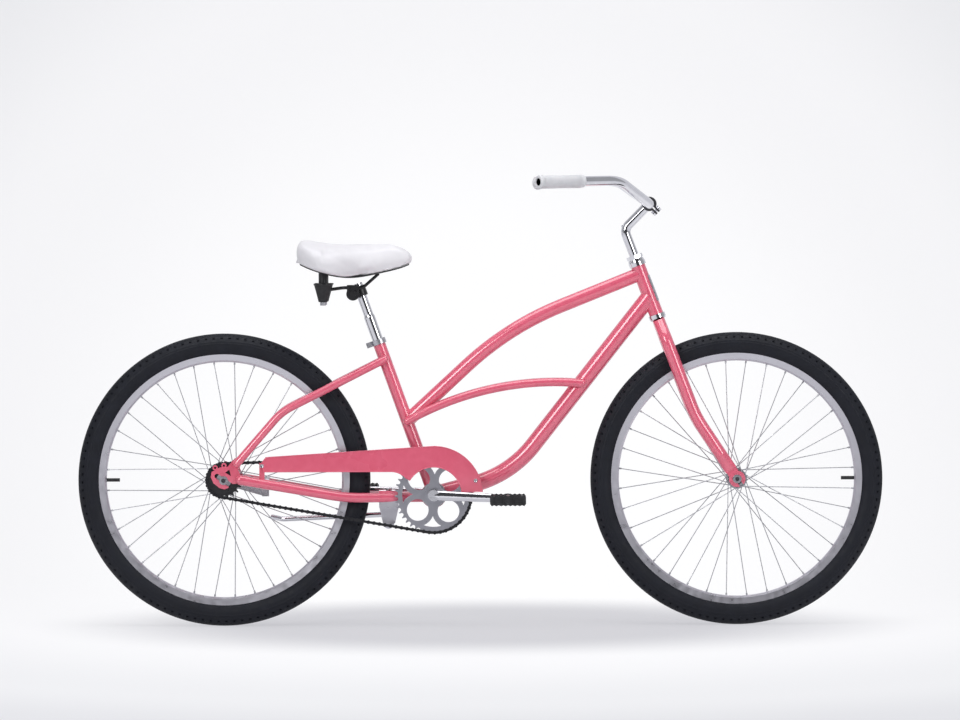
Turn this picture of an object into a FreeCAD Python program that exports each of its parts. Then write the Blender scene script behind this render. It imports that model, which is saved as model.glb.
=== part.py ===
import FreeCAD, Part
import math
import os
import re
import Sketcher
from FreeCAD import Placement, Rotation, Vector

# A beach cruiser bicycle, stood upright on its two wheels.
# +X points forward, +Y to the rider's left and +Z up.
# The origin is on the ground, midway between the two axles.

# Driving dimensions: millimetres, degrees and counts.
SIZES = {
    # whole bicycle
    "wheelbase": 1163.4,
    "bottom_bracket_drop": 35.0,
    "running_fit": 0.05,
    "body_gap": 0.4,
    # tyres, inner tubes and rims
    "tyre_radius": 332.0,
    "tyre_width": 54.0,
    "tyre_tread": 3.0,
    "tyre_height": 46.5,
    "inner_tube_wall": 1.0,
    "rim_width": 32.0,
    "rim_depth": 18.2,
    "rim_wall": 1.8,
    "rim_bed": 6.6,
    "rim_floor_share": 0.28,
    "rim_bed_share": 0.22,
    "rim_shoulder": 4.0,
    "rim_shoulder_draw": 1.5,
    "rim_bead_rise": 5.0,
    "rim_bead_draw": 1.2,
    "tyre_mouth_share": 0.3,
    "valve_diameter": 8.0,
    "valve_length": 30.0,
    # spokes and hubs
    "spoke_count": 36,
    "spoke_crossings": 3,
    "spoke_diameter": 2.0,
    "nipple_diameter": 4.0,
    "nipple_length": 12.0,
    "spoke_hole_offset": 3.0,
    "flange_thickness": 2.6,
    "flange_margin": 4.0,
    "flange_fillet": 3.0,
    "spoke_elbow_lean": 2.4,
    "spoke_bend": 1.1,
    "spoke_outer_lean": 0.2,
    "spoke_head_width": 3.6,
    "spoke_head_height": 1.2,
    "spoke_head_sink": 0.4,
    "spoke_hole_clearance": 0.15,
    "front_spoke_circle": 38.0,
    "front_flange_span": 68.0,
    "front_barrel_diameter": 20.0,
    "front_axle_diameter": 9.0,
    "front_cone_diameter": 25.4,
    "front_cup_inset": 4.0,
    "front_cup_wall": 2.4,
    "front_cup_recess": 2.5,
    "front_bore_clearance": 2.0,
    "front_ball_inset": 1.0,
    "front_spacing": 96.0,
    "rear_spoke_circle": 58.0,
    "rear_flange_span": 48.0,
    "rear_barrel_diameter": 44.0,
    "rear_axle_diameter": 10.0,
    "rear_spacing": 110.0,
    "hub_ball_diameter": 4.76,
    "hub_ball_count": 10,
    "hub_mouth_diameter": 36.0,
    "hub_shell_wall": 6.0,
    "hub_right_end": 36.0,
    "hub_left_end": 38.0,
    "hub_web": 2.5,
    "hub_web_bore": 15.0,
    "brake_cone_inset": 0.6,
    "brake_cone_step": 1.0,
    "driver_depth": 14.0,
    "rear_locknut_diameter": 18.0,
    "axle_overhang": 3.0,
    "axle_nut_width": 15.0,
    "axle_nut_height": 9.0,
    "axle_washer_diameter": 20.0,
    "axle_washer_thickness": 1.6,
    # frame tubes
    "tube_wall": 1.6,
    "seat_angle": 70.2,
    "seat_tube_length": 375.0,
    "seat_tube_diameter": 28.6,
    "head_angle": 69.4,
    "head_tube_length": 118.0,
    "head_tube_diameter": 33.0,
    "top_tube_diameter": 31.8,
    "top_tube_head_height": 99.0,
    "top_tube_seat_height": 177.3,
    "top_tube_front_lean": 10.24,
    "top_tube_rear_lean": 10.61,
    "top_tube_bend": 700.0,
    "down_tube_diameter": 38.1,
    "down_tube_head_height": 43.5,
    "down_tube_head_lean": 9.42,
    "down_tube_shell_lean": 27.88,
    "down_tube_bend": 250.0,
    "side_tube_diameter": 19.0,
    "side_tube_reach": 250.0,
    "side_tube_arc": 690.0,
    "side_tube_offset": 22.0,
    "shell_width": 68.0,
    "shell_diameter": 58.0,
    "shell_bore": 51.3,
    # rear triangle
    "tyre_clearance": 9.0,
    "stay_end_offset": 5.5,
    "chainstay_diameter": 22.2,
    "chainstay_bend_back": 199.0,
    "chainstay_bend_drop": 5.5,
    "chainstay_bend": 400.0,
    "chainstay_shell_offset": 17.0,
    "chainstay_end_reach": 38.0,
    "seatstay_diameter": 18.6,
    "seatstay_height": 327.0,
    "seatstay_top_lean": 8.20,
    "seatstay_low_lean": 14.00,
    "seatstay_flare_back": 80.0,
    "seatstay_flare_bend": 90.0,
    "seatstay_bend": 130.0,
    "seatstay_end_reach": 30.0,
    "seatstay_end_rise": 38.0,
    "bridge_diameter": 12.0,
    "bridge_back": 108.0,
    "dropout_thickness": 5.0,
    "dropout_scale": 1.0,
    "eyelet_bore": 5.2,
    "eyelet_wall": 3.4,
    "axle_slot_clearance": 0.3,
    "axle_slot_run": 58.0,
    # fork and headset
    "fork_rake": 38.0,
    "crown_clearance": 80.5,
    "blade_diameter": 28.6,
    "blade_wall": 1.8,
    "blade_clearance": 6.7,
    "blade_shoulder": 44.0,
    "blade_bend_height": 165.0,
    "blade_bend": 245.0,
    "blade_taper_start": 66.0,
    "blade_tip": 24.0,
    "fork_tip_thickness": 6.0,
    "fork_tip_radius": 18.5,
    "fork_tip_neck": 42.0,
    "tip_slot_clearance": 0.2,
    "steerer_diameter": 25.4,
    "cup_press_diameter": 30.2,
    "cup_press_depth": 12.0,
    "cup_diameter": 39.0,
    "cup_height": 9.0,
    "cup_floor": 3.0,
    "headset_ball_diameter": 3.96,
    "headset_ball_count": 20,
    "cup_wall": 1.4,
    "crown_race_height": 3.4,
    "race_height": 6.0,
    "race_bevel": 2.0,
    "lock_washer": 1.6,
    "steerer_foot": 34.0,
    "locknut_height": 8.0,
    "badge_length": 62.0,
    "badge_width": 22.0,
    "badge_thickness": 1.2,
    # stem and handlebar
    "quill_diameter": 22.0,
    "quill_insertion": 70.0,
    "stem_rise": 88.0,
    "stem_reach": 57.0,
    "stem_lift": 58.0,
    "stem_bend": 22.0,
    "clamp_diameter": 33.0,
    "clamp_width": 40.0,
    "clamp_slit": 3.0,
    "ear_height": 12.0,
    "stem_bolt_diameter": 8.0,
    "stem_bolt_head_width": 12.8,
    "stem_bolt_head": 5.0,
    "wedge_height": 22.0,
    "bar_diameter": 22.2,
    "bar_wall": 1.6,
    "bar_centre_width": 76.0,
    "bar_rise": 53.0,
    "bar_setback": 71.0,
    "bar_shoulder_width": 340.0,
    "bar_sweep": 182.0,
    "bar_width": 620.0,
    "bar_end_drop": 3.4,
    "bar_inner_bend": 55.0,
    "bar_outer_bend": 110.0,
    "grip_length": 125.0,
    "grip_diameter": 28.5,
    "grip_flange_diameter": 32.0,
    "grip_flange_width": 7.0,
    "grip_cap": 2.5,
    "grip_hole_diameter": 17.0,
    # bottom bracket, crank and chain
    "chain_pitch": 12.7,
    "chain_links": 106,
    "chain_line": 48.0,
    "roller_diameter": 7.7,
    "chain_inner_width": 3.6,
    "link_plate": 1.0,
    "link_height": 8.4,
    "link_waist": 5.88,
    "pin_diameter": 3.6,
    "pin_overhang": 0.6,
    "chainring_teeth": 42,
    "cog_teeth": 19,
    "sprocket_thickness": 3.0,
    "tooth_height": 3.6,
    "tooth_tip_width": 2.4,
    "tooth_seat_angle": 62.0,
    "cog_bore": 34.0,
    "cog_cover": 1.6,
    "cog_cover_diameter": 60.0,
    "chainring_hole_circle": 98.6,
    "chainring_hole_diameter": 49.0,
    "chainring_ring_diameter": 74.0,
    "chainring_window_diameter": 143.0,
    "chainring_hub_diameter": 92.0,
    "crank_length": 168.0,
    "crank_rest_drop": 2.6,
    "spindle_diameter": 20.6,
    "crank_root_offset": 64.0,
    "crank_end_offset": 74.0,
    "crank_root_height": 23.0,
    "crank_end_height": 18.0,
    "crank_root_thickness": 14.0,
    "crank_end_thickness": 11.0,
    "crank_boss_diameter": 25.0,
    "crank_knuckle_wall": 1.5,
    "crank_eye_width": 14.0,
    "crank_flange_diameter": 27.0,
    "crank_flange_width": 5.5,
    "crank_nut_height": 7.0,
    "cone_washer": 2.0,
    "cone_reach": 1.5,
    "cone_clearance": 1.7,
    "cone_nose_wall": 5.0,
    "cup_eye_clearance": 4.0,
    "cup_lip_step": 0.7,
    "crank_nut_width": 36.2,
    "shell_cup_depth": 9.5,
    "shell_cup_wall": 2.5,
    "shell_lip": 2.5,
    "shell_ball_diameter": 6.35,
    "shell_ball_count": 11,
    "shell_ball_circle": 38.0,
    "pedal_width": 92.0,
    "pedal_length": 81.0,
    "pedal_height": 25.0,
    "pedal_axle_diameter": 12.7,
    "pedal_flange": 4.0,
    "pedal_flange_wall": 2.2,
    "pedal_journal_step": 0.8,
    "pedal_barrel_wall": 4.0,
    "pedal_end": 5.0,
    "pedal_bar": 9.0,
    "pedal_bar_inset": 4.0,
    "pedal_bar_setback": 2.0,
    "pedal_corner": 4.0,
    "pedal_shoulder": 5.0,
    "pedal_notches": 7,
    "notch_depth": 2.2,
    # coaster brake
    "brake_arm_reach": 92.0,
    "brake_arm_drop": 32.0,
    "brake_arm_width": 16.0,
    "brake_arm_root_radius": 13.6,
    "brake_arm_thickness": 3.2,
    "brake_arm_inner": 41.6,
    "strap_thickness": 1.6,
    "strap_bolt_diameter": 6.0,
    "strap_bolt_head": 3.0,
    "shoe_bore": 24.0,
    "shoe_length": 44.0,
    "shoe_gap": 4.0,
    "shoe_inset": 3.0,
    "expander_inset": 6.0,
    # chain guard
    "guard_thickness": 1.5,
    "guard_lip": 1.5,
    "guard_clearance": 2.3,
    "guard_outer_radius": 111.0,
    "guard_inner_radius": 64.0,
    "guard_length": 392.0,
    "guard_bottom": 54.0,
    "guard_rear_top": 97.0,
    "guard_front_height": 8.0,
    "guard_waist": 94.0,
    "guard_cusp_angle": 148.0,
    "guard_cusp": 10.0,
    "guard_cusp_bow": 3.5,
    "guard_shoulder": 0.76,
    "guard_tail_drop": 4.0,
    "guard_heel": 7.0,
    "guard_bracket_ahead": 95.0,
    "guard_bracket_rise": 41.0,
    "guard_strap_width": 12.0,
    "guard_strap_drop": 42.0,
    "guard_strap_rise": 7.0,
    "guard_strap_inset": 3.0,
    "guard_screw_drop": 8.0,
    "guard_tab_height": 16.0,
    "guard_screw_diameter": 5.0,
    "guard_screw_crown": 7.0,
    "guard_screw_head": 2.4,
    # kickstand
    "kickstand_back": 102.0,
    "kickstand_length": 275.0,
    "kickstand_diameter": 12.0,
    "kickstand_pin_diameter": 16.0,
    "kickstand_bracket_length": 44.0,
    "kickstand_bracket_width": 76.0,
    "kickstand_side": 30.0,
    "kickstand_drop": 57.0,
    "kickstand_splay": 5.0,
    "kickstand_droop": 2.6,
    "kickstand_lean": 25.0,
    "kickstand_forward": 32.5,
    "kickstand_block": 12.0,
    "kickstand_top": 4.0,
    "kickstand_boss_wall": 5.0,
    "kickstand_chin": 1.0,
    "kickstand_clamp_gap": 2.0,
    "kickstand_boss_reach": 15.0,
    "kickstand_pin_depth": 17.0,
    "kickstand_housing": 40.0,
    "kickstand_foot": 28.0,
    "kickstand_bolt_diameter": 8.0,
    "kickstand_bolt_head": 5.0,
    "kickstand_bolt_head_width": 13.6,
    # seat post and saddle
    "seatpost_diameter": 25.4,
    "seatpost_top_diameter": 22.2,
    "seatpost_insertion": 95.0,
    "seatpost_step_height": 54.0,
    "seatpost_step_length": 5.0,
    "seatpost_height": 135.0,
    "seatpost_wall": 2.0,
    "seat_clamp_height": 12.0,
    "seat_clamp_wall": 3.2,
    "seat_ear_width": 18.0,
    "seat_ear_length": 14.0,
    "seat_bolt_diameter": 6.0,
    "seat_bolt_head_width": 10.2,
    "seat_bolt_head": 4.0,
    "seat_bolt_setback": 4.2,
    "saddle_clamp_drop": 19.0,
    "saddle_clamp_setback": 17.0,
    "saddle_band_height": 24.0,
    "saddle_band_wall": 3.9,
    "saddle_bolt_diameter": 8.0,
    "saddle_barrel_wall": 5.0,
    "saddle_nut_width": 13.6,
    "saddle_nut_height": 6.0,
    "saddle_disc_diameter": 30.0,
    "saddle_disc_thickness": 12.0,
    "saddle_jaw_width": 27.0,
    "saddle_jaw_cap": 2.5,
    "rail_diameter": 7.0,
    "rail_spacing": 44.0,
    "rail_rise": 14.0,
    "rail_front": 58.0,
    "rail_flat": 45.0,
    "rail_nose_spacing": 33.0,
    "rail_nose_rise": 6.5,
    "rail_spring_inset": 9.0,
    "rail_spring_drop": 5.0,
    "rail_rear_bend": 24.0,
    "rail_front_bend": 16.0,
    "saddle_length": 264.0,
    "saddle_width": 248.0,
    "saddle_height": 85.0,
    "saddle_setback": 127.0,
    "saddle_rise": 25.0,
    "saddle_base_thickness": 2.5,
    "saddle_base_share": 0.8,
    "spring_spacing": 116.0,
    "spring_top_diameter": 40.0,
    "spring_foot_diameter": 20.0,
    "spring_height": 38.0,
    "spring_back": 67.0,
    "spring_drop": 17.7,
    "spring_carrier_lip": 1.5,
    "spring_carrier_height": 4.0,
    "spring_neck_height": 30.0,
    "spring_bolt_tip": 8.0,
}

UP = Vector(0, 0, 1)
LEFT = Vector(0, 1, 0)
RIGHT = Vector(0, -1, 0)
FORWARD = Vector(1, 0, 0)

doc = FreeCAD.newDocument("beach_cruiser")
sheet = doc.addObject("Spreadsheet::Sheet", "sizes")
for row, (size_name, number) in enumerate(SIZES.items(), start=1):
    sheet.set(f"A{row}", str(number))
    sheet.setAlias(f"A{row}", size_name)
doc.recompute()

nodes = []


# Reading sizes and placing pieces

def size(name):
    return float(sheet.get(name))


def bound(text):
    """An expression in which every size's name points at its cell of the sheet."""
    return re.sub(r"[a-z_]+", lambda word: f"sizes.{word[0]}" if word[0] in SIZES else word[0], text)


def aimed(point, along):
    """A placement that carries local Z onto a direction."""
    return Placement(point, Rotation(UP, along))


def turn(angle):
    """A direction in the bicycle's own plane, from +X towards +Z."""
    return Vector(math.cos(math.radians(angle)), 0, math.sin(math.radians(angle)))


def meet(first, first_angle, second, second_angle):
    """Where two lines of the bicycle's own plane cross."""
    one, two = turn(first_angle), turn(second_angle)
    gap = second - first
    reach = (gap.x * two.z - gap.z * two.x) / (one.x * two.z - one.z * two.x)
    return first + one * reach


def bowed(front, back, front_lean, back_lean):
    """Where two runs meet that lean off the straight line between a tube's ends."""
    slope = math.degrees(math.atan2(front.z - back.z, front.x - back.x))
    return meet(front, slope + front_lean, back, slope + back_lean)


def keep(piece, name):
    """Marks an object as one of the bicycle's sub-parts."""
    piece.Label = name
    nodes.append(piece)
    return piece


# Solids made from bound sizes

def feature(name, shape):
    piece = doc.addObject("Part::Feature", name)
    piece.Shape = shape
    return piece


def cylinder(name, radius, height, point, along):
    piece = doc.addObject("Part::Cylinder", name)
    piece.setExpression("Radius", bound(radius))
    piece.setExpression("Height", bound(height))
    piece.Placement = aimed(point, along)
    return piece


def sphere(name, radius, point):
    piece = doc.addObject("Part::Sphere", name)
    piece.setExpression("Radius", bound(radius))
    piece.Placement = Placement(point, Rotation())
    return piece


def box(name, length, width, height, placement):
    """A box with its corner at the placement."""
    piece = doc.addObject("Part::Box", name)
    piece.setExpression("Length", bound(length))
    piece.setExpression("Width", bound(width))
    piece.setExpression("Height", bound(height))
    piece.Placement = placement
    return piece


def torus(name, ring_radius, tube_radius, point):
    piece = doc.addObject("Part::Torus", name)
    piece.setExpression("Radius1", bound(ring_radius))
    piece.setExpression("Radius2", bound(tube_radius))
    piece.Placement = aimed(point, LEFT)
    return piece


def turned(name, profile, point, along):
    """A lathe-turned piece: its profile is a list of radii and heights along the axis."""
    body = doc.addObject("PartDesign::Body", name)
    sketch = body.newObject("Sketcher::SketchObject", f"{name}_profile")
    plane = next(item for item in body.Origin.OriginFeatures if item.Role == "XZ_Plane")
    sketch.AttachmentSupport = [(plane, "")]
    sketch.MapMode = "FlatFace"
    count = len(profile)
    corners = [Vector(10 + math.cos(math.tau * i / count), math.sin(math.tau * i / count),
                      0) for i in range(count)]
    for i in range(count):
        sketch.addGeometry(Part.LineSegment(corners[i], corners[(i + 1) % count]), False)
    for i in range(count):
        sketch.addConstraint(Sketcher.Constraint("Coincident", i, 2, (i + 1) % count, 1))
    for i, (radius, height) in enumerate(profile):
        across = sketch.addConstraint(Sketcher.Constraint("DistanceX", -1, 1, i, 1, corners[i].x))
        sketch.setExpression(f"Constraints[{across}]", bound(radius))
        upward = sketch.addConstraint(Sketcher.Constraint("DistanceY", -1, 1, i, 1, corners[i].y))
        sketch.setExpression(f"Constraints[{upward}]", bound(height))
    spin = body.newObject("PartDesign::Revolution", f"{name}_turning")
    spin.Profile = sketch
    spin.ReferenceAxis = (sketch, ["V_Axis"])
    spin.Angle = 360
    body.Placement = aimed(point, along)
    return body


def ring(name, inner, outer, low, high, point, along):
    """A plain tube, bush or washer between two heights on its axis."""
    profile = [(inner, low), (outer, low), (outer, high), (inner, high)]
    return turned(name, profile, point, along)


def path(points, radii):
    """Straight runs joined by tangent arcs, with one radius for each inner point."""
    edges = []
    start = points[0]
    for before, corner, after, radius in zip(points, points[1:], points[2:], radii):
        back = (before - corner).normalize()
        ahead = (after - corner).normalize()
        half = (math.pi - back.getAngle(ahead)) / 2
        reach = radius * math.tan(half)
        middle = corner + (back + ahead).normalize() * (radius / math.cos(half) - radius)
        edges.append(Part.LineSegment(start, corner + back * reach).toShape())
        edges.append(Part.Arc(corner + back * reach, middle, corner + ahead * reach).toShape())
        start = corner + ahead * reach
    edges.append(Part.LineSegment(start, points[-1]).toShape())
    return Part.Wire(edges)


def swept(name, wire, radius):
    """A round bar along a path."""
    spine = feature(f"{name}_line", wire)
    first = wire.OrderedEdges[0]
    section = doc.addObject("Part::Circle", f"{name}_section")
    section.setExpression("Radius", bound(radius))
    section.Placement = aimed(first.valueAt(first.FirstParameter), first.tangentAt(first.FirstParameter))
    bar = doc.addObject("Part::Sweep", name)
    bar.Sections = [section]
    bar.Spine = (spine, [f"Edge{i + 1}" for i in range(len(wire.Edges))])
    bar.Solid = True
    return bar


def plate(name, face, thickness, direction):
    """A flat face given a thickness."""
    outline = feature(f"{name}_outline", face)
    solid = doc.addObject("Part::Extrusion", name)
    solid.Base = outline
    solid.DirMode = "Custom"
    solid.Dir = direction
    solid.setExpression("LengthFwd", bound(thickness))
    solid.Solid = True
    return solid


def cut(name, base, *tools):
    for count, tool in enumerate(tools, start=1):
        piece = doc.addObject("Part::Cut", name if count == len(tools) else f"{name}_cut_{count}")
        piece.Base = base
        piece.Tool = tool
        base = piece
    return base


def fused(name, *pieces):
    whole = doc.addObject("Part::MultiFuse", name)
    whole.Shapes = list(pieces)
    whole.Refine = False
    return whole


def common(name, one, two):
    piece = doc.addObject("Part::Common", name)
    piece.Base = one
    piece.Tool = two
    return piece


def grouped(name, *pieces):
    """Separate solids that share one node."""
    group = doc.addObject("Part::Compound", name)
    group.Links = list(pieces)
    return group


def mirrored(name, source):
    """The left-hand twin of a right-hand piece."""
    twin = doc.addObject("Part::Mirroring", name)
    twin.Source = source
    twin.Normal = LEFT
    twin.Base = Vector(0, 0, 0)
    return twin


def pair(name, right):
    """A right-hand piece and its left-hand twin in one node."""
    return keep(grouped(name, right, mirrored(f"{name}_left_twin", right)), name)


def polygon(points):
    return Part.Face(Part.makePolygon(points + points[:1]))


def hexagon(centre, across_flats):
    """A flat nut outline in the plane across local Y."""
    radius = across_flats / math.sqrt(3)
    return polygon([centre + turn(60 * i) * radius for i in range(6)])


def balls(count, circle, diameter, point, along):
    """A ring of bearing balls."""
    place = aimed(point, along)
    centres = [place.multVec(turned_point(circle / 2, 360 * i / count)) for i in range(count)]
    return [Part.makeSphere(diameter / 2, centre) for centre in centres]


def turned_point(radius, angle):
    return Vector(radius * math.cos(math.radians(angle)), radius * math.sin(math.radians(angle)), 0)


# The lie of the bicycle: axles, seat line and steering line

rear_axle = Vector(-size("wheelbase") / 2, 0, size("tyre_radius"))
front_axle = Vector(size("wheelbase") / 2, 0, size("tyre_radius"))


def pitch_radius(teeth):
    return size("chain_pitch") / (2 * math.sin(math.pi / teeth))


ring_pitch_radius = pitch_radius(size("chainring_teeth"))
cog_pitch_radius = pitch_radius(size("cog_teeth"))


def chain_tilt(distance):
    """The lean of the chain's straight runs against the line of centres, in radians."""
    return math.asin((ring_pitch_radius - cog_pitch_radius) / distance)


def chain_count(distance):
    """How many pitches close round both sprockets at a centre distance."""
    tilt = chain_tilt(distance)
    straight = 2 * distance * math.cos(tilt) / size("chain_pitch")
    on_ring = size("chainring_teeth") * (math.pi + 2 * tilt) / math.tau
    on_cog = size("cog_teeth") * (math.pi - 2 * tilt) / math.tau
    return straight + on_ring + on_cog


def chain_distance():
    """The axle is pulled back in its slots until the chain is tight."""
    near, far = 2 * ring_pitch_radius, size("chain_links") * size("chain_pitch")
    while far - near > 1e-9:
        middle = (near + far) / 2
        near, far = (middle, far) if chain_count(middle) < size("chain_links") else (near, middle)
    return near


axle_distance = chain_distance()
crank_axis = rear_axle + Vector(math.sqrt(axle_distance ** 2 - size("bottom_bracket_drop") ** 2), 0,
                                -size("bottom_bracket_drop"))
chain_line_angle = math.degrees(math.atan2(rear_axle.z - crank_axis.z, rear_axle.x - crank_axis.x))

seat_line = turn(180 - size("seat_angle"))
steer_line = turn(180 - size("head_angle"))
steer_front = turn(90 - size("head_angle"))
steer_foot = front_axle - steer_front * size("fork_rake")
fork_length = size("tyre_radius") + size("crown_clearance")
head_top = fork_length + size("head_tube_length")


def on_seat(height, side=0.0):
    return crank_axis + seat_line * height + LEFT * side


def on_steer(height, ahead=0.0, side=0.0):
    return steer_foot + steer_line * height + steer_front * ahead + LEFT * side


# Frame tubes

head_rod = cylinder("head_rod", "head_tube_diameter / 2", "head_tube_length", on_steer(fork_length),
                    steer_line)
seat_rod = cylinder("seat_rod", "seat_tube_diameter / 2", "seat_tube_length", crank_axis, seat_line)
shell_rod = cylinder("shell_rod", "shell_diameter / 2", "shell_width",
                     crank_axis + RIGHT * (size("shell_width") / 2), LEFT)


def hollow(name, wire, diameter):
    """A bent tube's outer bar and the bar of its bore."""
    outer = swept(f"{name}_outer", wire, f"{diameter} / 2")
    bore = swept(f"{name}_bore", wire, f"{diameter} / 2 - tube_wall")
    return outer, bore


def main_tubes():
    keep(ring("head_tube", "cup_press_diameter / 2", "head_tube_diameter / 2", "0", "head_tube_length",
              on_steer(fork_length), steer_line), "head_tube")
    seat = ring("seat_tube_stock", "seatpost_diameter / 2 + running_fit", "seat_tube_diameter / 2",
                "0", "seat_tube_length", crank_axis, seat_line)
    keep(cut("seat_tube", seat, shell_rod), "seat_tube")
    keep(ring("bottom_bracket_shell", "shell_bore / 2", "shell_diameter / 2", "-shell_width / 2",
              "shell_width / 2", crank_axis, LEFT), "bottom_bracket_shell")


def top_tube():
    head = on_steer(fork_length + size("top_tube_head_height"))
    seat = on_seat(size("top_tube_seat_height"))
    corner = bowed(head, seat, -size("top_tube_front_lean"), size("top_tube_rear_lean"))
    outer, bore = hollow("top_tube", path([head, corner, seat], [size("top_tube_bend")]),
                         "top_tube_diameter")
    keep(cut("top_tube", outer, bore, head_rod, seat_rod), "top_tube")
    return outer


def down_tube_line():
    head = on_steer(fork_length + size("down_tube_head_height"))
    corner = bowed(head, crank_axis, size("down_tube_head_lean"), -size("down_tube_shell_lean"))
    return head, corner


def down_tube():
    head, corner = down_tube_line()
    wire = path([head, corner, crank_axis], [size("down_tube_bend")])
    outer, bore = hollow("down_tube", wire, "down_tube_diameter")
    keep(cut("down_tube", outer, bore, head_rod, shell_rod), "down_tube")
    return outer


def side_tubes(top_bar, down_bar):
    """Two slim tubes that lie along the flanks of the seat tube and the down tube."""
    head, corner = down_tube_line()
    side = RIGHT * size("side_tube_offset")
    back = on_seat(size("top_tube_seat_height")) + side
    front = head + (corner - head).normalize() * size("side_tube_reach") + side
    half = (front - back).Length / 2
    rise = size("side_tube_arc") - math.sqrt(size("side_tube_arc") ** 2 - half ** 2)
    upward = (front - back).normalize().cross(RIGHT).normalize()
    crown = (front + back) * 0.5 + upward * (rise if upward.z > 0 else -rise)
    wire = Part.Wire([Part.Arc(back, crown, front).toShape()])
    bar = swept("side_tube_bar", wire, "side_tube_diameter / 2")
    bore = swept("side_tube_bore", wire, "side_tube_diameter / 2 - tube_wall")
    ends = [sphere(f"side_tube_end_{i}", "side_tube_diameter / 2", point) for i,
            point in enumerate([back, front])]
    tube = cut("side_tube_right", fused("side_tube_stock", bar, *ends), bore, seat_rod, top_bar, down_bar)
    pair("side_tubes", tube)


# Rear dropouts and stays

stay_end_side = size("rear_spacing") / 2 + size("dropout_thickness") / 2 + size("stay_end_offset")


def dropout_point(ahead, rise):
    """A point of the right dropout's inner face, from the axle."""
    scale = size("dropout_scale")
    return rear_axle + Vector(ahead * scale, -size("rear_spacing") / 2, rise * scale)


def rear_dropouts():
    """Plates with a slanted axle slot, a window and two eyelets."""
    outline = [(40, -7), (40, 11), (33, 24), (38, 42), (22, 47), (9, 31), (-8, 30), (-18, 24), (-27, 20),
               (-29, 8), (-23, -6), (-9, -17), (2, -20), (10, -17), (18, -8)]
    body = plate("dropout_body", polygon([dropout_point(*point) for point in outline]),
                 "dropout_thickness", RIGHT)
    window = plate("dropout_window",
                   polygon([dropout_point(*point) for point in [(13, 25), (4, 18), (17, 10)]]),
                   "dropout_thickness", RIGHT)
    eyelets = []
    holes = []
    for i, point in enumerate([(-19, 29), (1, 34)]):
        eyelets.append(cylinder(f"eyelet_{i}", "eyelet_bore / 2 + eyelet_wall", "dropout_thickness",
                                dropout_point(*point), RIGHT))
        holes.append(cylinder(f"eyelet_hole_{i}", "eyelet_bore / 2", "dropout_thickness",
                              dropout_point(*point), RIGHT))
    slot_end = cylinder("slot_end", "rear_axle_diameter / 2 + axle_slot_clearance", "dropout_thickness",
                        dropout_point(-15, 10), RIGHT)
    slot_turn = Rotation(FORWARD, dropout_point(30, -20) - dropout_point(0, 0))
    slot_half = size("rear_axle_diameter") / 2 + size("axle_slot_clearance")
    slot_corner = dropout_point(-15, 10) - slot_turn.multVec(UP * slot_half)
    slot = box("slot", "axle_slot_run", "dropout_thickness",
               "rear_axle_diameter + 2 * axle_slot_clearance",
               Placement(slot_corner + RIGHT * size("dropout_thickness"), slot_turn))
    right = cut("rear_dropout_right", fused("dropout_stock", body, *eyelets), window, slot_end, slot,
                *holes)
    pair("rear_dropouts", right)
    return body


stay_flank = size("tyre_width") / 2 + size("chainstay_diameter") / 2 + size("tyre_clearance")
chainstay_end = rear_axle + Vector(size("chainstay_end_reach"), -stay_end_side, 1)
chainstay_bend_point = crank_axis + Vector(-size("chainstay_bend_back"), -stay_flank,
                                           -size("chainstay_bend_drop"))


def chainstays(dropout_body):
    end, bend = chainstay_end, chainstay_bend_point
    shell = crank_axis + Vector(0, -size("chainstay_shell_offset"), -size("chainstay_bend_drop"))
    outer, bore = hollow("chainstay", path([shell, bend, end], [size("chainstay_bend")]),
                         "chainstay_diameter")
    tip = sphere("chainstay_tip", "chainstay_diameter / 2", end)
    stay = cut("chainstay_right", fused("chainstay_stock", outer, tip), bore, shell_rod, dropout_body)
    pair("chainstays", stay)
    return outer


def seatstay_points():
    """The right seat stay's line: seat tube flank, flare, bend and dropout."""
    top = on_seat(size("seatstay_height"),
                  -size("seat_tube_diameter") / 2 - size("seatstay_diameter") / 4)
    flank = size("tyre_width") / 2 + size("seatstay_diameter") / 2 + size("tyre_clearance")
    end = rear_axle + Vector(size("seatstay_end_reach"), -stay_end_side, size("seatstay_end_rise"))
    bend = bowed(top, end, -size("seatstay_top_lean"), size("seatstay_low_lean"))
    run = Vector(bend.x - top.x, 0, bend.z - top.z).normalize()
    flare = Vector(top.x, -flank, top.z) + run * size("seatstay_flare_back")
    bend.y = (-flank - stay_end_side) / 2
    return top, flare, bend, end


def seatstays(dropout_body):
    top, flare, bend, end = seatstay_points()
    wire = path([top, flare, bend, end], [size("seatstay_flare_bend"), size("seatstay_bend")])
    outer, bore = hollow("seatstay", wire, "seatstay_diameter")
    tips = [sphere(f"seatstay_tip_{i}", "seatstay_diameter / 2", point) for i,
            point in enumerate([top, end])]
    stay = cut("seatstay_right", fused("seatstay_stock", outer, *tips), bore, seat_rod, dropout_body)
    twin = mirrored("seatstay_left", stay)
    along = (bend - flare).normalize()
    middle = flare + along * (size("bridge_back") - size("seatstay_flare_back"))
    half_span = abs(middle.y)
    bar = cylinder("bridge_bar", "bridge_diameter / 2", f"{2 * half_span}", middle, LEFT)
    bridge = cut("seatstay_bridge", bar, outer, mirrored("seatstay_outer_left", outer))
    keep(grouped("seatstays", stay, twin, bridge), "seatstays")


def build_frame():
    main_tubes()
    top_bar = top_tube()
    down_bar = down_tube()
    side_tubes(top_bar, down_bar)
    dropout_body = rear_dropouts()
    stay_bar = chainstays(dropout_body)
    seatstays(dropout_body)
    return down_bar, stay_bar


down_bar, chainstay_bar = build_frame()
doc.recompute()


# Headset, fork and head badge

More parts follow.
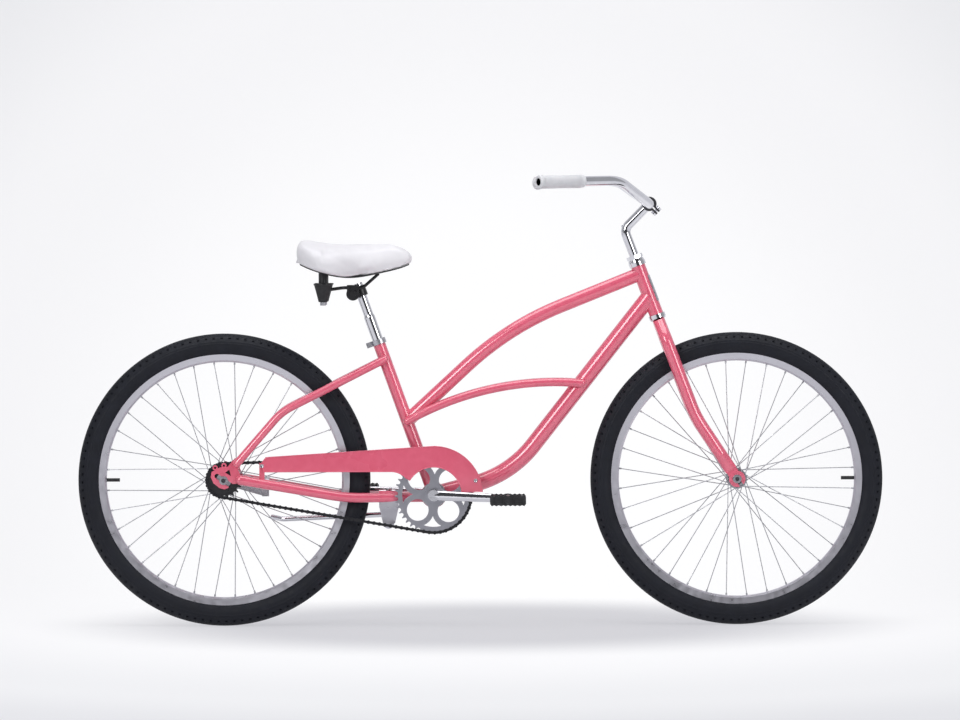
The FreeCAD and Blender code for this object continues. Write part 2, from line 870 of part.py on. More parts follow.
crown_top = fork_length - size("cup_height") - size("body_gap") - size("crown_race_height")
RACE_FACE = "cup_floor + headset_ball_diameter + 2 * running_fit"
CUP_LIP = "cup_height + body_gap"
NUT_SEAT = f"{CUP_LIP} + race_height + lock_washer"
steerer_rod = cylinder("steerer_rod", "steerer_diameter / 2", "head_tube_length + crown_clearance",
                       on_steer(fork_length - size("steerer_foot")), steer_line)


def headset_cup(name, point, along):
    """A cup pressed into the head tube, with a flat ball track."""
    inner, press, outer = "steerer_diameter / 2 + body_gap", "cup_press_diameter / 2", "cup_diameter / 2"
    profile = [(inner, "-cup_press_depth"), (press, "-cup_press_depth"), (press, "0"), (outer, "0"),
               (outer, "cup_height"), (f"{outer} - cup_wall", "cup_height"),
               (f"{outer} - cup_wall", "cup_floor"), (inner, "cup_floor")]
    return turned(name, profile, point, along)


def headset_race(name, height, point, along):
    """The moving half of a headset bearing, on the steerer."""
    bore, inside = "steerer_diameter / 2", "cup_diameter / 2 - cup_wall - body_gap"
    top = f"{CUP_LIP} + {height}"
    profile = [(bore, RACE_FACE), (inside, RACE_FACE), (inside, CUP_LIP),
               ("cup_diameter / 2 - body_gap", CUP_LIP), ("cup_diameter / 2 - race_bevel", top), (bore, top)]
    return turned(name, profile, point, along)


def headset_balls():
    circle = size("steerer_diameter") / 2 + size("body_gap") + size("cup_diameter") / 2 - size("cup_wall")
    lift = size("cup_floor") + size("headset_ball_diameter") / 2 + size("running_fit")
    rings = []
    for height, along in [(head_top, steer_line), (fork_length, steer_line * -1)]:
        rings += balls(int(size("headset_ball_count")), circle, size("headset_ball_diameter"),
                       on_steer(height) + along * lift, along)
    return rings


def headset():
    top, bottom = on_steer(head_top), on_steer(fork_length)
    upper = headset_cup("upper_cup", top, steer_line)
    lower = headset_cup("lower_cup", bottom, steer_line * -1)
    keep(grouped("headset_cups", upper, lower), "headset_cups")
    upper_race = headset_race("upper_race", "race_height", top, steer_line)
    crown_race = headset_race("crown_race", "crown_race_height", bottom, steer_line * -1)
    washer = ring("lock_washer_ring", "steerer_diameter / 2", "cup_diameter / 2 - 3",
                  f"{CUP_LIP} + race_height",
                  NUT_SEAT, top, steer_line)
    nut_foot = size("cup_height") + size("body_gap") + size("race_height") + size("lock_washer")
    seat = aimed(top + steer_line * nut_foot, steer_line)
    corners = [seat.multVec(turned_point(size("cup_diameter") / 2 - 1, 45 * i)) for i in range(8)]
    nut = plate("locknut_blank", polygon(corners), "locknut_height", steer_line)
    locknut = cut("headset_locknut", nut, steerer_rod)
    keep(grouped("headset_races", upper_race, crown_race, washer, locknut), "headset_races")


def head_badge():
    """A plain bare plate, curved to the front of the head tube."""
    middle = on_steer(fork_length + size("head_tube_length") / 2 - size("badge_length") / 2)
    band = ring("badge_band", "head_tube_diameter / 2", "head_tube_diameter / 2 + badge_thickness", "0",
                "badge_length", middle, steer_line)
    corner = middle - LEFT * (size("badge_width") / 2)
    front = box("badge_front", "head_tube_diameter", "badge_width", "badge_length",
                Placement(corner, Rotation(steer_front, LEFT, steer_line)))
    keep(common("head_badge", band, front), "head_badge")


blade_offset = size("tyre_width") / 2 + size("blade_diameter") / 2 + size("blade_clearance")
tip_middle = size("front_spacing") / 2 + size("fork_tip_thickness") / 2
blade_bend_point = on_steer(size("blade_bend_height"), 0, -blade_offset)
blade_end_point = front_axle + RIGHT * tip_middle
blade_down = (Vector(front_axle.x, 0, front_axle.z) - on_steer(size("blade_bend_height"))).normalize()


def facing(direction):
    """A rotation with local Z along a direction and local X in the bicycle's plane."""
    forward = LEFT.cross(direction).normalize()
    return Rotation(forward, LEFT, direction, "ZXY")


def blade_toe(start, stop):
    """The lower end of a blade, pressed flat towards the tip."""
    run = (stop - start).normalize()
    round_end = doc.addObject("Part::Circle", "blade_round")
    round_end.setExpression("Radius", bound("blade_diameter / 2"))
    round_end.Placement = Placement(start, facing(run))
    flat_end = doc.addObject("Part::Ellipse", "blade_flat")
    flat_end.setExpression("MajorRadius", bound("blade_diameter / 2"))
    flat_end.setExpression("MinorRadius", bound("fork_tip_thickness / 2 + blade_wall"))
    flat_end.Placement = Placement(stop, facing(run))
    toe = doc.addObject("Part::Loft", "blade_toe")
    toe.Sections = [round_end, flat_end]
    toe.Solid = True
    toe.Ruled = True
    return toe


def fork_tip():
    """A flat plate that takes the front axle in an open slot."""
    inner = front_axle + RIGHT * (size("front_spacing") / 2)
    neck = blade_down * -size("fork_tip_neck")
    wide = LEFT.cross(blade_down).normalize() * (size("blade_diameter") / 2 - size("blade_wall"))
    body = plate("tip_neck",
                 polygon([inner + wide, inner + neck + wide, inner + neck - wide, inner - wide]),
                 "fork_tip_thickness", RIGHT)
    disc = cylinder("tip_disc", "fork_tip_radius", "fork_tip_thickness", inner, RIGHT)
    hole = cylinder("tip_hole", "front_axle_diameter / 2 + tip_slot_clearance", "fork_tip_thickness",
                    inner, RIGHT)
    side = wide.normalize() * (size("front_axle_diameter") / 2 + size("tip_slot_clearance"))
    slot = plate("tip_slot",
                 polygon([inner + side, inner - side,
                          inner - side + blade_down * 2 * size("fork_tip_radius"),
                                      inner + side + blade_down * 2 * size("fork_tip_radius")]),
                 "fork_tip_thickness", RIGHT)
    whole = fused("fork_tip_stock", body, disc)
    pair("fork_dropouts", cut("fork_tip_right", whole, hole, slot))
    return whole


def fork_blades(tip):
    """Unicrown blades: they curve in under the crown race and are welded to the steerer."""
    start = on_steer(fork_length)
    shoulder = on_steer(fork_length - size("blade_shoulder") - size("blade_diameter") / 2, 0,
                        -blade_offset)
    run = (blade_end_point - blade_bend_point).normalize()
    toe_start = blade_end_point - run * size("blade_taper_start")
    wire = path([start, shoulder, blade_bend_point, toe_start],
                [size("blade_shoulder"), size("blade_bend")])
    outer = swept("blade_bar", wire, "blade_diameter / 2")
    bore = swept("blade_bore", wire, "blade_diameter / 2 - blade_wall")
    toe = blade_toe(toe_start, blade_end_point - run * size("blade_tip"))
    reach = fork_length + size("tyre_radius")
    side = box("fork_side", "tyre_radius", "tyre_radius", f"{reach}",
               Placement(on_steer(crown_top - reach, -size("tyre_radius") / 2, -size("tyre_radius")),
                         Rotation(steer_front, LEFT, steer_line)))
    hollow_bar = cut("blade_tube", outer, bore)
    blade = common("blade_half", fused("blade_stock", hollow_bar, toe), side)
    pair("fork_blades", cut("fork_blade_right", blade, steerer_rod, tip))


def steerer():
    top = f"steerer_foot + head_tube_length + {NUT_SEAT} + locknut_height"
    keep(ring("steerer_tube", "quill_diameter / 2 + running_fit", "steerer_diameter / 2", "0", top,
              on_steer(fork_length - size("steerer_foot")), steer_line), "steerer_tube")


# Stem, handlebar and grips

stem_kink = on_steer(head_top + size("stem_rise"))
bar_centre = stem_kink + Vector(size("stem_reach"), 0, size("stem_lift"))
bar_rod = cylinder("bar_rod", "bar_diameter / 2 + running_fit", "clamp_width",
                   bar_centre + RIGHT * (size("clamp_width") / 2), LEFT)


def stem():
    """A gooseneck: the quill, the forward arm and the split clamp are one forging."""
    foot = on_steer(head_top - size("quill_insertion"))
    bar = swept("stem_bar", path([foot, stem_kink, bar_centre], [size("stem_bend")]),
                "quill_diameter / 2")
    eye = cylinder("stem_eye", "clamp_diameter / 2", "clamp_width",
                   bar_centre + RIGHT * (size("clamp_width") / 2), LEFT)
    arm = (bar_centre - stem_kink).normalize()
    below = arm.cross(LEFT).normalize()
    below = below if below.z < 0 else below * -1
    ear_reach = size("clamp_diameter") / 2 + size("ear_height")
    ear_turn = Rotation(arm, LEFT, below * -1, "ZXY")
    ear_corner = bar_centre + below * ear_reach - arm * (size("ear_height") / 2)
    ear_corner += RIGHT * (size("clamp_width") / 4)
    ear = box("stem_ear", "ear_height", "clamp_width / 2", "clamp_diameter / 2 + ear_height",
              Placement(ear_corner, ear_turn))
    slit = box("stem_slit", "clamp_slit", "clamp_width + 2", "clamp_diameter / 2 + ear_height + 1",
               Placement(bar_centre + below * (ear_reach + 1) - arm * (size("clamp_slit") / 2)
                         + RIGHT * (size("clamp_width") / 2 + 1), ear_turn))
    bolt_spot = bar_centre + below * (size("clamp_diameter") / 2 + size("ear_height") / 2)
    bolt = clamp_bolt(bolt_spot, arm)
    bolt_hole = cylinder("stem_bolt_hole", "stem_bolt_diameter / 2", "ear_height * 3",
                         bolt_spot - arm * (1.5 * size("ear_height")), arm)
    draw_hole = cylinder("draw_bolt_hole", "stem_bolt_diameter / 2",
                         "quill_insertion + stem_rise + quill_diameter", foot, steer_line)
    whole = fused("stem_stock", bar, eye, ear)
    keep(cut("stem", whole, bar_rod, slit, bolt_hole, draw_hole), "stem")
    keep(grouped("stem_expander", expander_wedge(foot), draw_bolt(foot), bolt), "stem_expander")


def clamp_bolt(spot, arm):
    """The bolt that pinches the bar clamp: a round head, a shank and a nut."""
    half, shank, head = "ear_height / 2", "stem_bolt_diameter / 2", "stem_bolt_head_width / 2"
    tip = f"{half} + stem_bolt_head"
    profile = [("0", f"-({tip})"), (head, f"-({tip})"), (head, f"-{half}"), (shank, f"-{half}"),
               (shank, half), (head, half), (head, tip), ("0", tip)]
    return turned("stem_clamp_bolt", profile, spot, arm)


def expander_wedge(foot):
    """The wedge that the long bolt draws up inside the steerer."""
    return ring("stem_wedge", "stem_bolt_diameter / 2", "quill_diameter / 2", "-wedge_height", "0", foot,
                steer_line)


def draw_bolt(foot):
    """The long bolt runs down the quill from the top of the kink into the wedge."""
    top = "quill_insertion + stem_rise + quill_diameter / 2"
    profile = [("0", "-wedge_height"), ("stem_bolt_diameter / 2", "-wedge_height"),
               ("stem_bolt_diameter / 2", top),
               ("0", top)]
    return turned("stem_draw_bolt", profile, foot, steer_line)


def bar_points(side):
    """Centre, shoulder and end of one half of the handlebar."""
    inner = bar_centre + LEFT * (side * size("bar_centre_width") / 2)
    shoulder = bar_centre + Vector(-size("bar_setback"), side * size("bar_shoulder_width") / 2,
                                   size("bar_rise"))
    end = shoulder + Vector(-size("bar_sweep"),
                            side * (size("bar_width") - size("bar_shoulder_width")) / 2,
                            -size("bar_end_drop"))
    return inner, shoulder, end


def grip(name, side):
    """A soft sleeve with a flange and a closed cap at its outer end."""
    inner, shoulder, end = bar_points(side)
    bore, sleeve, flange = "bar_diameter / 2", "grip_diameter / 2", "grip_flange_diameter / 2"
    profile = [(bore, "-grip_length"), (sleeve, "-grip_length"), (sleeve, "-grip_flange_width"),
               (flange, "-grip_flange_width"), (flange, "grip_cap"), ("grip_hole_diameter / 2", "grip_cap"),
               ("grip_hole_diameter / 2", "0"), (bore, "0")]
    keep(turned(name, profile, end, (end - shoulder).normalize()), name)


def handlebar():
    left_inner, left_shoulder, left_end = bar_points(1)
    right_inner, right_shoulder, right_end = bar_points(-1)
    points = [right_end, right_shoulder, right_inner, left_inner, left_shoulder, left_end]
    bends = [size("bar_outer_bend"), size("bar_inner_bend"), size("bar_inner_bend"),
             size("bar_outer_bend")]
    outer = swept("handlebar_bar", path(points, bends), "bar_diameter / 2")
    bore = swept("handlebar_bore", path(points, bends), "bar_diameter / 2 - bar_wall")
    keep(cut("handlebar", outer, bore), "handlebar")
    grip("grip_right", -1)
    grip("grip_left", 1)


# Wheels

def wheel_point(centre, radius, angle, side):
    return centre + turn(angle) * radius + LEFT * side


RIM_EDGE = "tyre_radius - tyre_height"
CAVITY_RING = "tyre_radius - tyre_tread - (tyre_width / 2 - tyre_tread - 2)"
CAVITY_TUBE = "tyre_width / 2 - tyre_tread - 2"
cavity_tube = size("tyre_width") / 2 - size("tyre_tread") - 2
cavity_ring = size("tyre_radius") - size("tyre_tread") - cavity_tube
rim_edge = size("tyre_radius") - size("tyre_height")
rim_inner = rim_edge - size("rim_depth")


def rim_stock(name, centre):
    """A rim's section: two bead walls over a solid bed."""
    half, low = "rim_width / 2", f"{RIM_EDGE} - rim_depth"
    bed = f"{low} + rim_bed"
    left = [(bed, "rim_width * rim_bed_share"),
            (f"{bed} + rim_bead_rise", f"{half} - rim_wall - rim_bead_draw"),
            (RIM_EDGE, f"{half} - rim_wall"), (RIM_EDGE, half),
            (f"{low} + rim_shoulder", f"{half} - rim_shoulder_draw"), (low, "rim_width * rim_floor_share")]
    right = [(radius, f"-({side})") for radius, side in reversed(left)]
    return turned(name, right + left, centre, LEFT)


def tyre(name, centre, rim_blank):
    """A casing open towards the rim, with its beads inside the rim's walls."""
    casing = torus(f"{name}_casing", "tyre_radius - tyre_width / 2", "tyre_width / 2", centre)
    cavity = torus(f"{name}_cavity", CAVITY_RING, CAVITY_TUBE, centre)
    mouth = ring(f"{name}_mouth", f"{RIM_EDGE} - rim_depth", f"{RIM_EDGE} + rim_bed",
                 "-rim_width * tyre_mouth_share", "rim_width * tyre_mouth_share", centre, LEFT)
    keep(cut(name, casing, cavity, mouth, rim_blank), name)


def inner_tube(name, centre, valve_angle):
    """An inflated tube with its valve, which stands out through the rim."""
    outside = torus(f"{name}_outside", CAVITY_RING, f"{CAVITY_TUBE} - body_gap", centre)
    air = torus(f"{name}_air", CAVITY_RING, f"{CAVITY_TUBE} - body_gap - inner_tube_wall", centre)
    root = wheel_point(centre, cavity_ring - cavity_tube + size("body_gap") + size("inner_tube_wall") / 2,
                       valve_angle, 0)
    valve = cylinder(f"{name}_valve", "valve_diameter / 2", "rim_depth + valve_length", root,
                     turn(valve_angle) * -1)
    keep(fused(name, cut(f"{name}_skin", outside, air), valve), name)


def spoke_shapes(centre, circle, span, phase):
    """One spoke, one nipple and their two drillings for each kind, turned round the hub."""
    per_flange = int(size("spoke_count")) // 2
    step = 360 / per_flange
    wire_radius = size("spoke_diameter") / 2
    shapes = {"spokes": [], "rim_holes": [], "flange_holes": []}
    for side in (1, -1):
        for lead in (1, -1):
            hub_angle = phase + (step / 2 if side < 0 else 0) + (step if lead < 0 else 0)
            rim_angle = hub_angle + lead * size("spoke_crossings") * step
            lean = size("spoke_elbow_lean") if lead > 0 else size("spoke_outer_lean")
            stand = lead * (size("flange_thickness") / 2 + wire_radius + lean)
            head_side = span / 2 - lead * (size("flange_thickness") / 2 + size("spoke_head_sink"))
            head = wheel_point(centre, circle / 2, hub_angle, side * head_side)
            elbow = wheel_point(centre, circle / 2, hub_angle, side * (span / 2 + stand))
            seat = wheel_point(centre, rim_inner + size("rim_bed") / 2, rim_angle,
                               side * size("spoke_hole_offset"))
            run = (seat - elbow).normalize()
            line = path([head, elbow, seat], [size("spoke_bend")])
            section = Part.Wire(Part.Circle(head, (elbow - head).normalize(), wire_radius).toShape())
            wire = line.makePipeShell([section], True, False)
            knob = Part.makeCylinder(size("spoke_head_width") / 2, size("spoke_head_height"), head,
                                     (head - elbow).normalize())
            nipple_end = seat + run * (size("rim_bed") / 2)
            sleeve = Part.makeCylinder(size("nipple_diameter") / 2, size("nipple_length"), nipple_end,
                                       run * -1)
            sleeve = sleeve.cut(Part.makeCylinder(wire_radius + size("running_fit"),
                                                  size("nipple_length"), nipple_end, run * -1))
            rim_hole = Part.makeCylinder(size("nipple_diameter") / 2 + size("running_fit"),
                                         4 * size("rim_bed"),
                                         seat - run * (2 * size("rim_bed")), run)
            hole_foot = wheel_point(centre, circle / 2, hub_angle,
                                    side * span / 2 - size("flange_thickness"))
            flange_hole = Part.makeCylinder(wire_radius + size("spoke_hole_clearance"),
                                            2 * size("flange_thickness"), hole_foot, LEFT)
            for copy in range(per_flange // 2):
                for kind, shape in [("spokes", wire.fuse(knob)), ("spokes", sleeve),
                                    ("rim_holes", rim_hole),
                                    ("flange_holes", flange_hole)]:
                    spun = shape.copy()
                    spun.rotate(centre, RIGHT, 2 * step * copy)
                    shapes[kind].append(spun)
    return shapes


def wheel(prefix, centre, valve_angle):
    """Tyre, inner tube, rim and spokes. Returns the drillings for the hub's flanges."""
    blank = rim_stock(f"{prefix}_rim_stock", centre)
    phase = valve_angle + 90 / size("spoke_count") * 2
    shapes = spoke_shapes(centre, size(f"{prefix}_spoke_circle"), size(f"{prefix}_flange_span"), phase)
    valve_hole = cylinder(f"{prefix}_valve_hole", "valve_diameter / 2 + running_fit", "rim_depth * 3",
                          wheel_point(centre, rim_inner - size("rim_depth"), valve_angle,
                                      0), turn(valve_angle))
    drillings = feature(f"{prefix}_rim_holes", Part.makeCompound(shapes["rim_holes"]))
    keep(cut(f"{prefix}_rim", blank, drillings, valve_hole), f"{prefix}_rim")
    tyre(f"{prefix}_tyre", centre, blank)
    inner_tube(f"{prefix}_inner_tube", centre, valve_angle)
    keep(feature(f"{prefix}_spokes", Part.makeCompound(shapes["spokes"])), f"{prefix}_spokes")
    return feature(f"{prefix}_flange_holes", Part.makeCompound(shapes["flange_holes"]))


def both_ways(right_half):
    """A profile that is the same on both sides of the wheel's middle plane."""
    left_half = [(radius, f"-({height})") for radius, height in reversed(right_half)]
    return right_half + left_half


def axle_nut(name, centre, side, seat, diameter):
    """A washer and a hexagon nut on one end of an axle."""
    outward = LEFT * side
    start = centre + outward * seat
    washer = ring(f"{name}_washer", f"{diameter} / 2", "axle_washer_diameter / 2", "0",
                  "axle_washer_thickness", start, outward)
    nut_foot = start + outward * size("axle_washer_thickness")
    blank = plate(f"{name}_blank", hexagon(nut_foot, size("axle_nut_width")), "axle_nut_height", outward)
    rod = cylinder(f"{name}_thread", f"{diameter} / 2", "axle_nut_height", nut_foot, outward)
    return [washer, cut(f"{name}_nut", blank, rod)]


def axle_nuts(name, centre, seat, diameter):
    right = axle_nut(f"{name}_right", centre, -1, seat, diameter)
    left = axle_nut(f"{name}_left", centre, 1, seat, diameter)
    keep(grouped(name, *right, *left), name)


AXLE_END = "axle_washer_thickness + axle_nut_height + axle_overhang"


def front_hub(flange_holes):
    """A slim barrel with two flanges, cup-and-cone bearings and a solid axle."""
    flange, half = "front_flange_span / 2", "flange_thickness / 2"
    rim, cup = "front_spoke_circle / 2 + flange_margin", "front_cone_diameter / 2 + body_gap"
    floor = f"{flange} + front_cup_inset"
    face = f"{floor} + hub_ball_diameter + 2 * running_fit"
    end = "front_spacing / 2 - front_cup_recess"
    mouth, root = f"{cup} + front_cup_wall", "front_spoke_circle / 2 - flange_margin"
    shell = [("front_axle_diameter / 2 + front_bore_clearance", f"-({floor})"), (cup, f"-({floor})"),
             (cup, f"-({end})"), (mouth, f"-({end})"), (mouth, f"-({flange} + {half})"),
             (rim, f"-({flange} + {half})"), (rim, f"-({flange} - {half})"),
             (root, f"-({flange} - {half})"),
             ("front_barrel_diameter / 2", f"-({flange} - {half} - flange_fillet)")]
    barrel = turned("front_hub_stock", both_ways(shell), front_axle, LEFT)
    keep(cut("front_hub", barrel, flange_holes), "front_hub")
    shaft, cone = "front_axle_diameter / 2", "front_cone_diameter / 2"
    tip = f"front_spacing / 2 + fork_tip_thickness + {AXLE_END}"
    half_axle = [("0", f"-({tip})"), (shaft, f"-({tip})"), (shaft, "-front_spacing / 2"),
                 (cone, "-front_spacing / 2"), (cone, f"-({face})"), (shaft, f"-({face})")]
    axle = turned("front_axle_shaft", both_ways(half_axle), front_axle, LEFT)
    circle = size("front_cone_diameter") - size("hub_ball_diameter") - size("front_ball_inset")
    lift = size("front_flange_span") / 2 + size("front_cup_inset")
    lift += size("hub_ball_diameter") / 2 + size("running_fit")
    ring_balls = []
    for side in (1, -1):
        ring_balls += balls(int(size("hub_ball_count")), circle, size("hub_ball_diameter"),
                            front_axle + LEFT * (side * lift), LEFT)
    keep(grouped("front_axle", axle, feature("front_hub_balls", Part.makeCompound(ring_balls))),
         "front_axle")
    axle_nuts("front_axle_nuts", front_axle, size("front_spacing") / 2 + size("fork_tip_thickness"),
              "front_axle_diameter")


# Rear hub with its coaster brake

DRIVER_END = "chain_line + sprocket_thickness / 2 + cog_cover + 0.5"
HUB_FLOOR = "hub_left_end - hub_ball_diameter - 2 * running_fit - brake_cone_inset"
MOUTH = "hub_mouth_diameter / 2"


def rear_shell(flange_holes):
    """The hub's shell: the driver turns in its right mouth, the balls run on its left web."""
    inside = "rear_flange_span / 2 - flange_thickness / 2"
    outside = "rear_flange_span / 2 + flange_thickness / 2"
    neck = f"{inside} - flange_fillet"
    rim, root = "rear_spoke_circle / 2 + flange_margin", "rear_spoke_circle / 2 - flange_margin"
    sleeve, barrel = f"{MOUTH} + hub_shell_wall", "rear_barrel_diameter / 2"
    profile = [(MOUTH, "-hub_right_end"), (sleeve, "-hub_right_end"), (sleeve, f"-({outside})"),
               (rim, f"-({outside})"), (rim, f"-({inside})"), (root, f"-({inside})"),
               (barrel, f"-({neck})"), (barrel, neck), (root, inside), (rim, inside), (rim, outside),
               (sleeve, outside), (sleeve, "hub_left_end"), (MOUTH, "hub_left_end"), (MOUTH, HUB_FLOOR),
               ("hub_web_bore / 2", HUB_FLOOR), ("hub_web_bore / 2", f"{HUB_FLOOR} - hub_web"),
               (MOUTH, f"{HUB_FLOOR} - hub_web")]
    keep(cut("rear_hub", turned("rear_hub_stock", profile, rear_axle, LEFT), flange_holes), "rear_hub")


def rear_axle_group():
    """The axle with its right locknut, its left brake cone and the ring of balls."""
    shaft, nut = "rear_axle_diameter / 2", "rear_locknut_diameter / 2"
    tip = f"rear_spacing / 2 + dropout_thickness + {AXLE_END}"
    cap, cone = f"{MOUTH} + hub_shell_wall - brake_cone_step", f"{MOUTH} - brake_cone_step"
    cone_face, cap_face = "hub_left_end - brake_cone_inset", "hub_left_end + body_gap"
    arm_in, arm_out = "brake_arm_inner", "brake_arm_inner + brake_arm_thickness"
    nut_face = f"-({DRIVER_END} + body_gap)"
    profile = [("0", f"-({tip})"), (shaft, f"-({tip})"), (shaft, "-rear_spacing / 2"),
               (nut, "-rear_spacing / 2"), (nut, nut_face), (shaft, nut_face), (shaft, cone_face),
               (cone, cone_face), (cone, cap_face), (cap, cap_face), (cap, arm_in), (shaft, arm_in),
               (shaft, arm_out), (nut, arm_out), (nut, "rear_spacing / 2"), (shaft, "rear_spacing / 2"),
               (shaft, tip), ("0", tip)]
    axle = turned("rear_axle_shaft", profile, rear_axle, LEFT)
    lift = size("hub_left_end") - size("brake_cone_inset") - size("running_fit")
    lift -= size("hub_ball_diameter") / 2
    circle = (size("hub_mouth_diameter") + size("hub_web_bore")) / 2
    ring_balls = balls(int(size("hub_ball_count")), circle, size("hub_ball_diameter"),
                       rear_axle + LEFT * lift, LEFT)
    keep(grouped("rear_axle", axle, feature("rear_hub_balls", Part.makeCompound(ring_balls))),
         "rear_axle")
    axle_nuts("rear_axle_nuts", rear_axle, size("rear_spacing") / 2 + size("dropout_thickness"),
              "rear_axle_diameter")


def brake_shoes():
    """Two half rings on an expander bush, just clear of the shell's bore."""
    start = "driver_depth - hub_right_end + shoe_inset"
    stock = ring("brake_shoe_stock", "shoe_bore / 2", f"{MOUTH} - body_gap", start,
                 f"{start} + shoe_length", rear_axle, LEFT)
    slab = box("brake_shoe_gap", "hub_mouth_diameter", "rear_spacing", "shoe_gap",
               Placement(rear_axle - Vector(size("hub_mouth_diameter") / 2, size("rear_spacing") / 2,
                                            size("shoe_gap") / 2), Rotation()))
    bush = ring("brake_expander", "rear_axle_diameter / 2", "shoe_bore / 2", f"{start} + expander_inset",
                f"{start} + shoe_length - expander_inset", rear_axle, LEFT)
    keep(grouped("coaster_brake_shoes", cut("brake_shoe_halves", stock, slab), bush),
         "coaster_brake_shoes")


def strip(name, start, end, start_radius, end_radius, thickness, direction):
    """A flat bar with two round ends."""
    along = (end - start).normalize()
    wide = along.cross(direction).normalize()
    corners = [start + wide * start_radius, end + wide * end_radius,
               end - wide * end_radius, start - wide * start_radius]
    body = plate(f"{name}_middle", polygon(corners), thickness, direction)
    near_face = Part.Face(Part.Wire(Part.Circle(start, direction, start_radius).toShape()))
    far_face = Part.Face(Part.Wire(Part.Circle(end, direction, end_radius).toShape()))
    near = plate(f"{name}_near", near_face, thickness, direction)
    far = plate(f"{name}_far", far_face, thickness, direction)
    return fused(name, body, near, far)


def brake_arm():
    """The reaction arm: from the left end of the axle to a strap on the left chain stay."""
    start = rear_axle + LEFT * size("brake_arm_inner")
    end = start + Vector(size("brake_arm_reach"), 0, -size("brake_arm_drop"))
    stock = strip("brake_arm_stock", start, end, size("brake_arm_root_radius"),
                  size("brake_arm_width") / 2, "brake_arm_thickness", LEFT)
    hole = cylinder("brake_arm_bore", "rear_axle_diameter / 2", "brake_arm_thickness", start, LEFT)
    bolt_start = end + RIGHT * (size("strap_thickness") + size("strap_bolt_head"))
    shank = cylinder("strap_bolt_hole", "strap_bolt_diameter / 2", "rear_spacing", bolt_start, LEFT)
    keep(cut("brake_arm", stock, hole, shank), "brake_arm")
    stay = mirrored("chainstay_bar_left", chainstay_bar)
    reach = (end.x - chainstay_end.x) / (chainstay_bend_point.x - chainstay_end.x)
    middle = chainstay_end + (chainstay_bend_point - chainstay_end) * reach
    middle.y = -middle.y
    along = (chainstay_end - chainstay_bend_point).normalize()
    along.y = -along.y
    band = cylinder("strap_band", "chainstay_diameter / 2 + strap_thickness", "brake_arm_width",
                    middle - along * (size("brake_arm_width") / 2), along)
    foot = size("brake_arm_width") / 2
    tabs = box("strap_tabs", "brake_arm_width", "brake_arm_thickness + 2 * strap_thickness",
               "brake_arm_drop",
               Placement(end + Vector(-foot, -size("strap_thickness"), -foot), Rotation()))
    strap = cut("brake_strap", fused("brake_strap_stock", band, tabs), stay, stock, shank)
    profile = [("0", "0"), ("strap_bolt_diameter", "0"), ("strap_bolt_diameter", "strap_bolt_head"),
               ("strap_bolt_diameter / 2", "strap_bolt_head"),
               ("strap_bolt_diameter / 2", "strap_bolt_head + 2 * strap_thickness + brake_arm_thickness"),
               ("strap_bolt_diameter", "strap_bolt_head + 2 * strap_thickness + brake_arm_thickness"),
               ("strap_bolt_diameter", "2 * strap_bolt_head + 2 * strap_thickness + brake_arm_thickness"),
               ("0", "2 * strap_bolt_head + 2 * strap_thickness + brake_arm_thickness")]
    bolt = turned("strap_bolt", profile, bolt_start, LEFT)
    keep(grouped("brake_arm_strap", strap, bolt), "brake_arm_strap")


# Sprockets, driver and chain

chain_lean = math.degrees(chain_tilt(axle_distance))
upper_normal = chain_line_angle - 90 + chain_lean
lower_normal = chain_line_angle + 90 - chain_lean
ring_run = size("chainring_teeth") * (180 + 2 * chain_lean) / 360
straight_run = axle_distance * math.cos(math.radians(chain_lean)) / size("chain_pitch")
cog_run = size("cog_teeth") * (180 - 2 * chain_lean) / 360
ring_middle = crank_axis + RIGHT * size("chain_line")
cog_middle = rear_axle + RIGHT * size("chain_line")


def chain_point(count):
    """Where the chain is after so many pitches from the top of the chainring."""
    if count <= ring_run:
        return ring_middle + turn(upper_normal - 360 * count / size("chainring_teeth")) * ring_pitch_radius
    count -= ring_run
    if count <= straight_run:
        start = ring_middle + turn(lower_normal) * ring_pitch_radius
        end = cog_middle + turn(lower_normal) * cog_pitch_radius
        return start + (end - start) * (count / straight_run)
    count -= straight_run
    if count <= cog_run:
        return cog_middle + turn(lower_normal - 360 * count / size("cog_teeth")) * cog_pitch_radius
    count -= cog_run
    start = cog_middle + turn(upper_normal) * cog_pitch_radius
    end = ring_middle + turn(upper_normal) * ring_pitch_radius
    return start + (end - start) * (count / straight_run)


def sprocket_face(centre, teeth, radius, first_gap):
    """A toothed outline with a round seat for every roller."""
    seat = size("roller_diameter") / 2 + 3 * size("running_fit")
    tip_radius = radius + size("tooth_height")
    tip_half = math.degrees(size("tooth_tip_width") / 2 / tip_radius)
    step = 360 / teeth
    edges = []
    for i in range(int(teeth)):
        angle = first_gap + i * step
        middle = centre + turn(angle) * radius
        before = middle + turn(angle + 180 + size("tooth_seat_angle")) * seat
        bottom = middle - turn(angle) * seat
        after = middle + turn(angle + 180 - size("tooth_seat_angle")) * seat
        tip_start = centre + turn(angle + step / 2 - tip_half) * tip_radius
        tip_end = centre + turn(angle + step / 2 + tip_half) * tip_radius
        following = centre + turn(angle + step) * radius
        following += turn(angle + step + 180 + size("tooth_seat_angle")) * seat
        edges.append(Part.Arc(before, bottom, after).toShape())
        edges.append(Part.LineSegment(after, tip_start).toShape())
        edges.append(Part.LineSegment(tip_start, tip_end).toShape())
        edges.append(Part.LineSegment(tip_end, following).toShape())
    return Part.Face(Part.Wire(edges))


def disc(centre, radius):
    return Part.Face(Part.Wire(Part.Circle(centre, RIGHT, radius).toShape()))


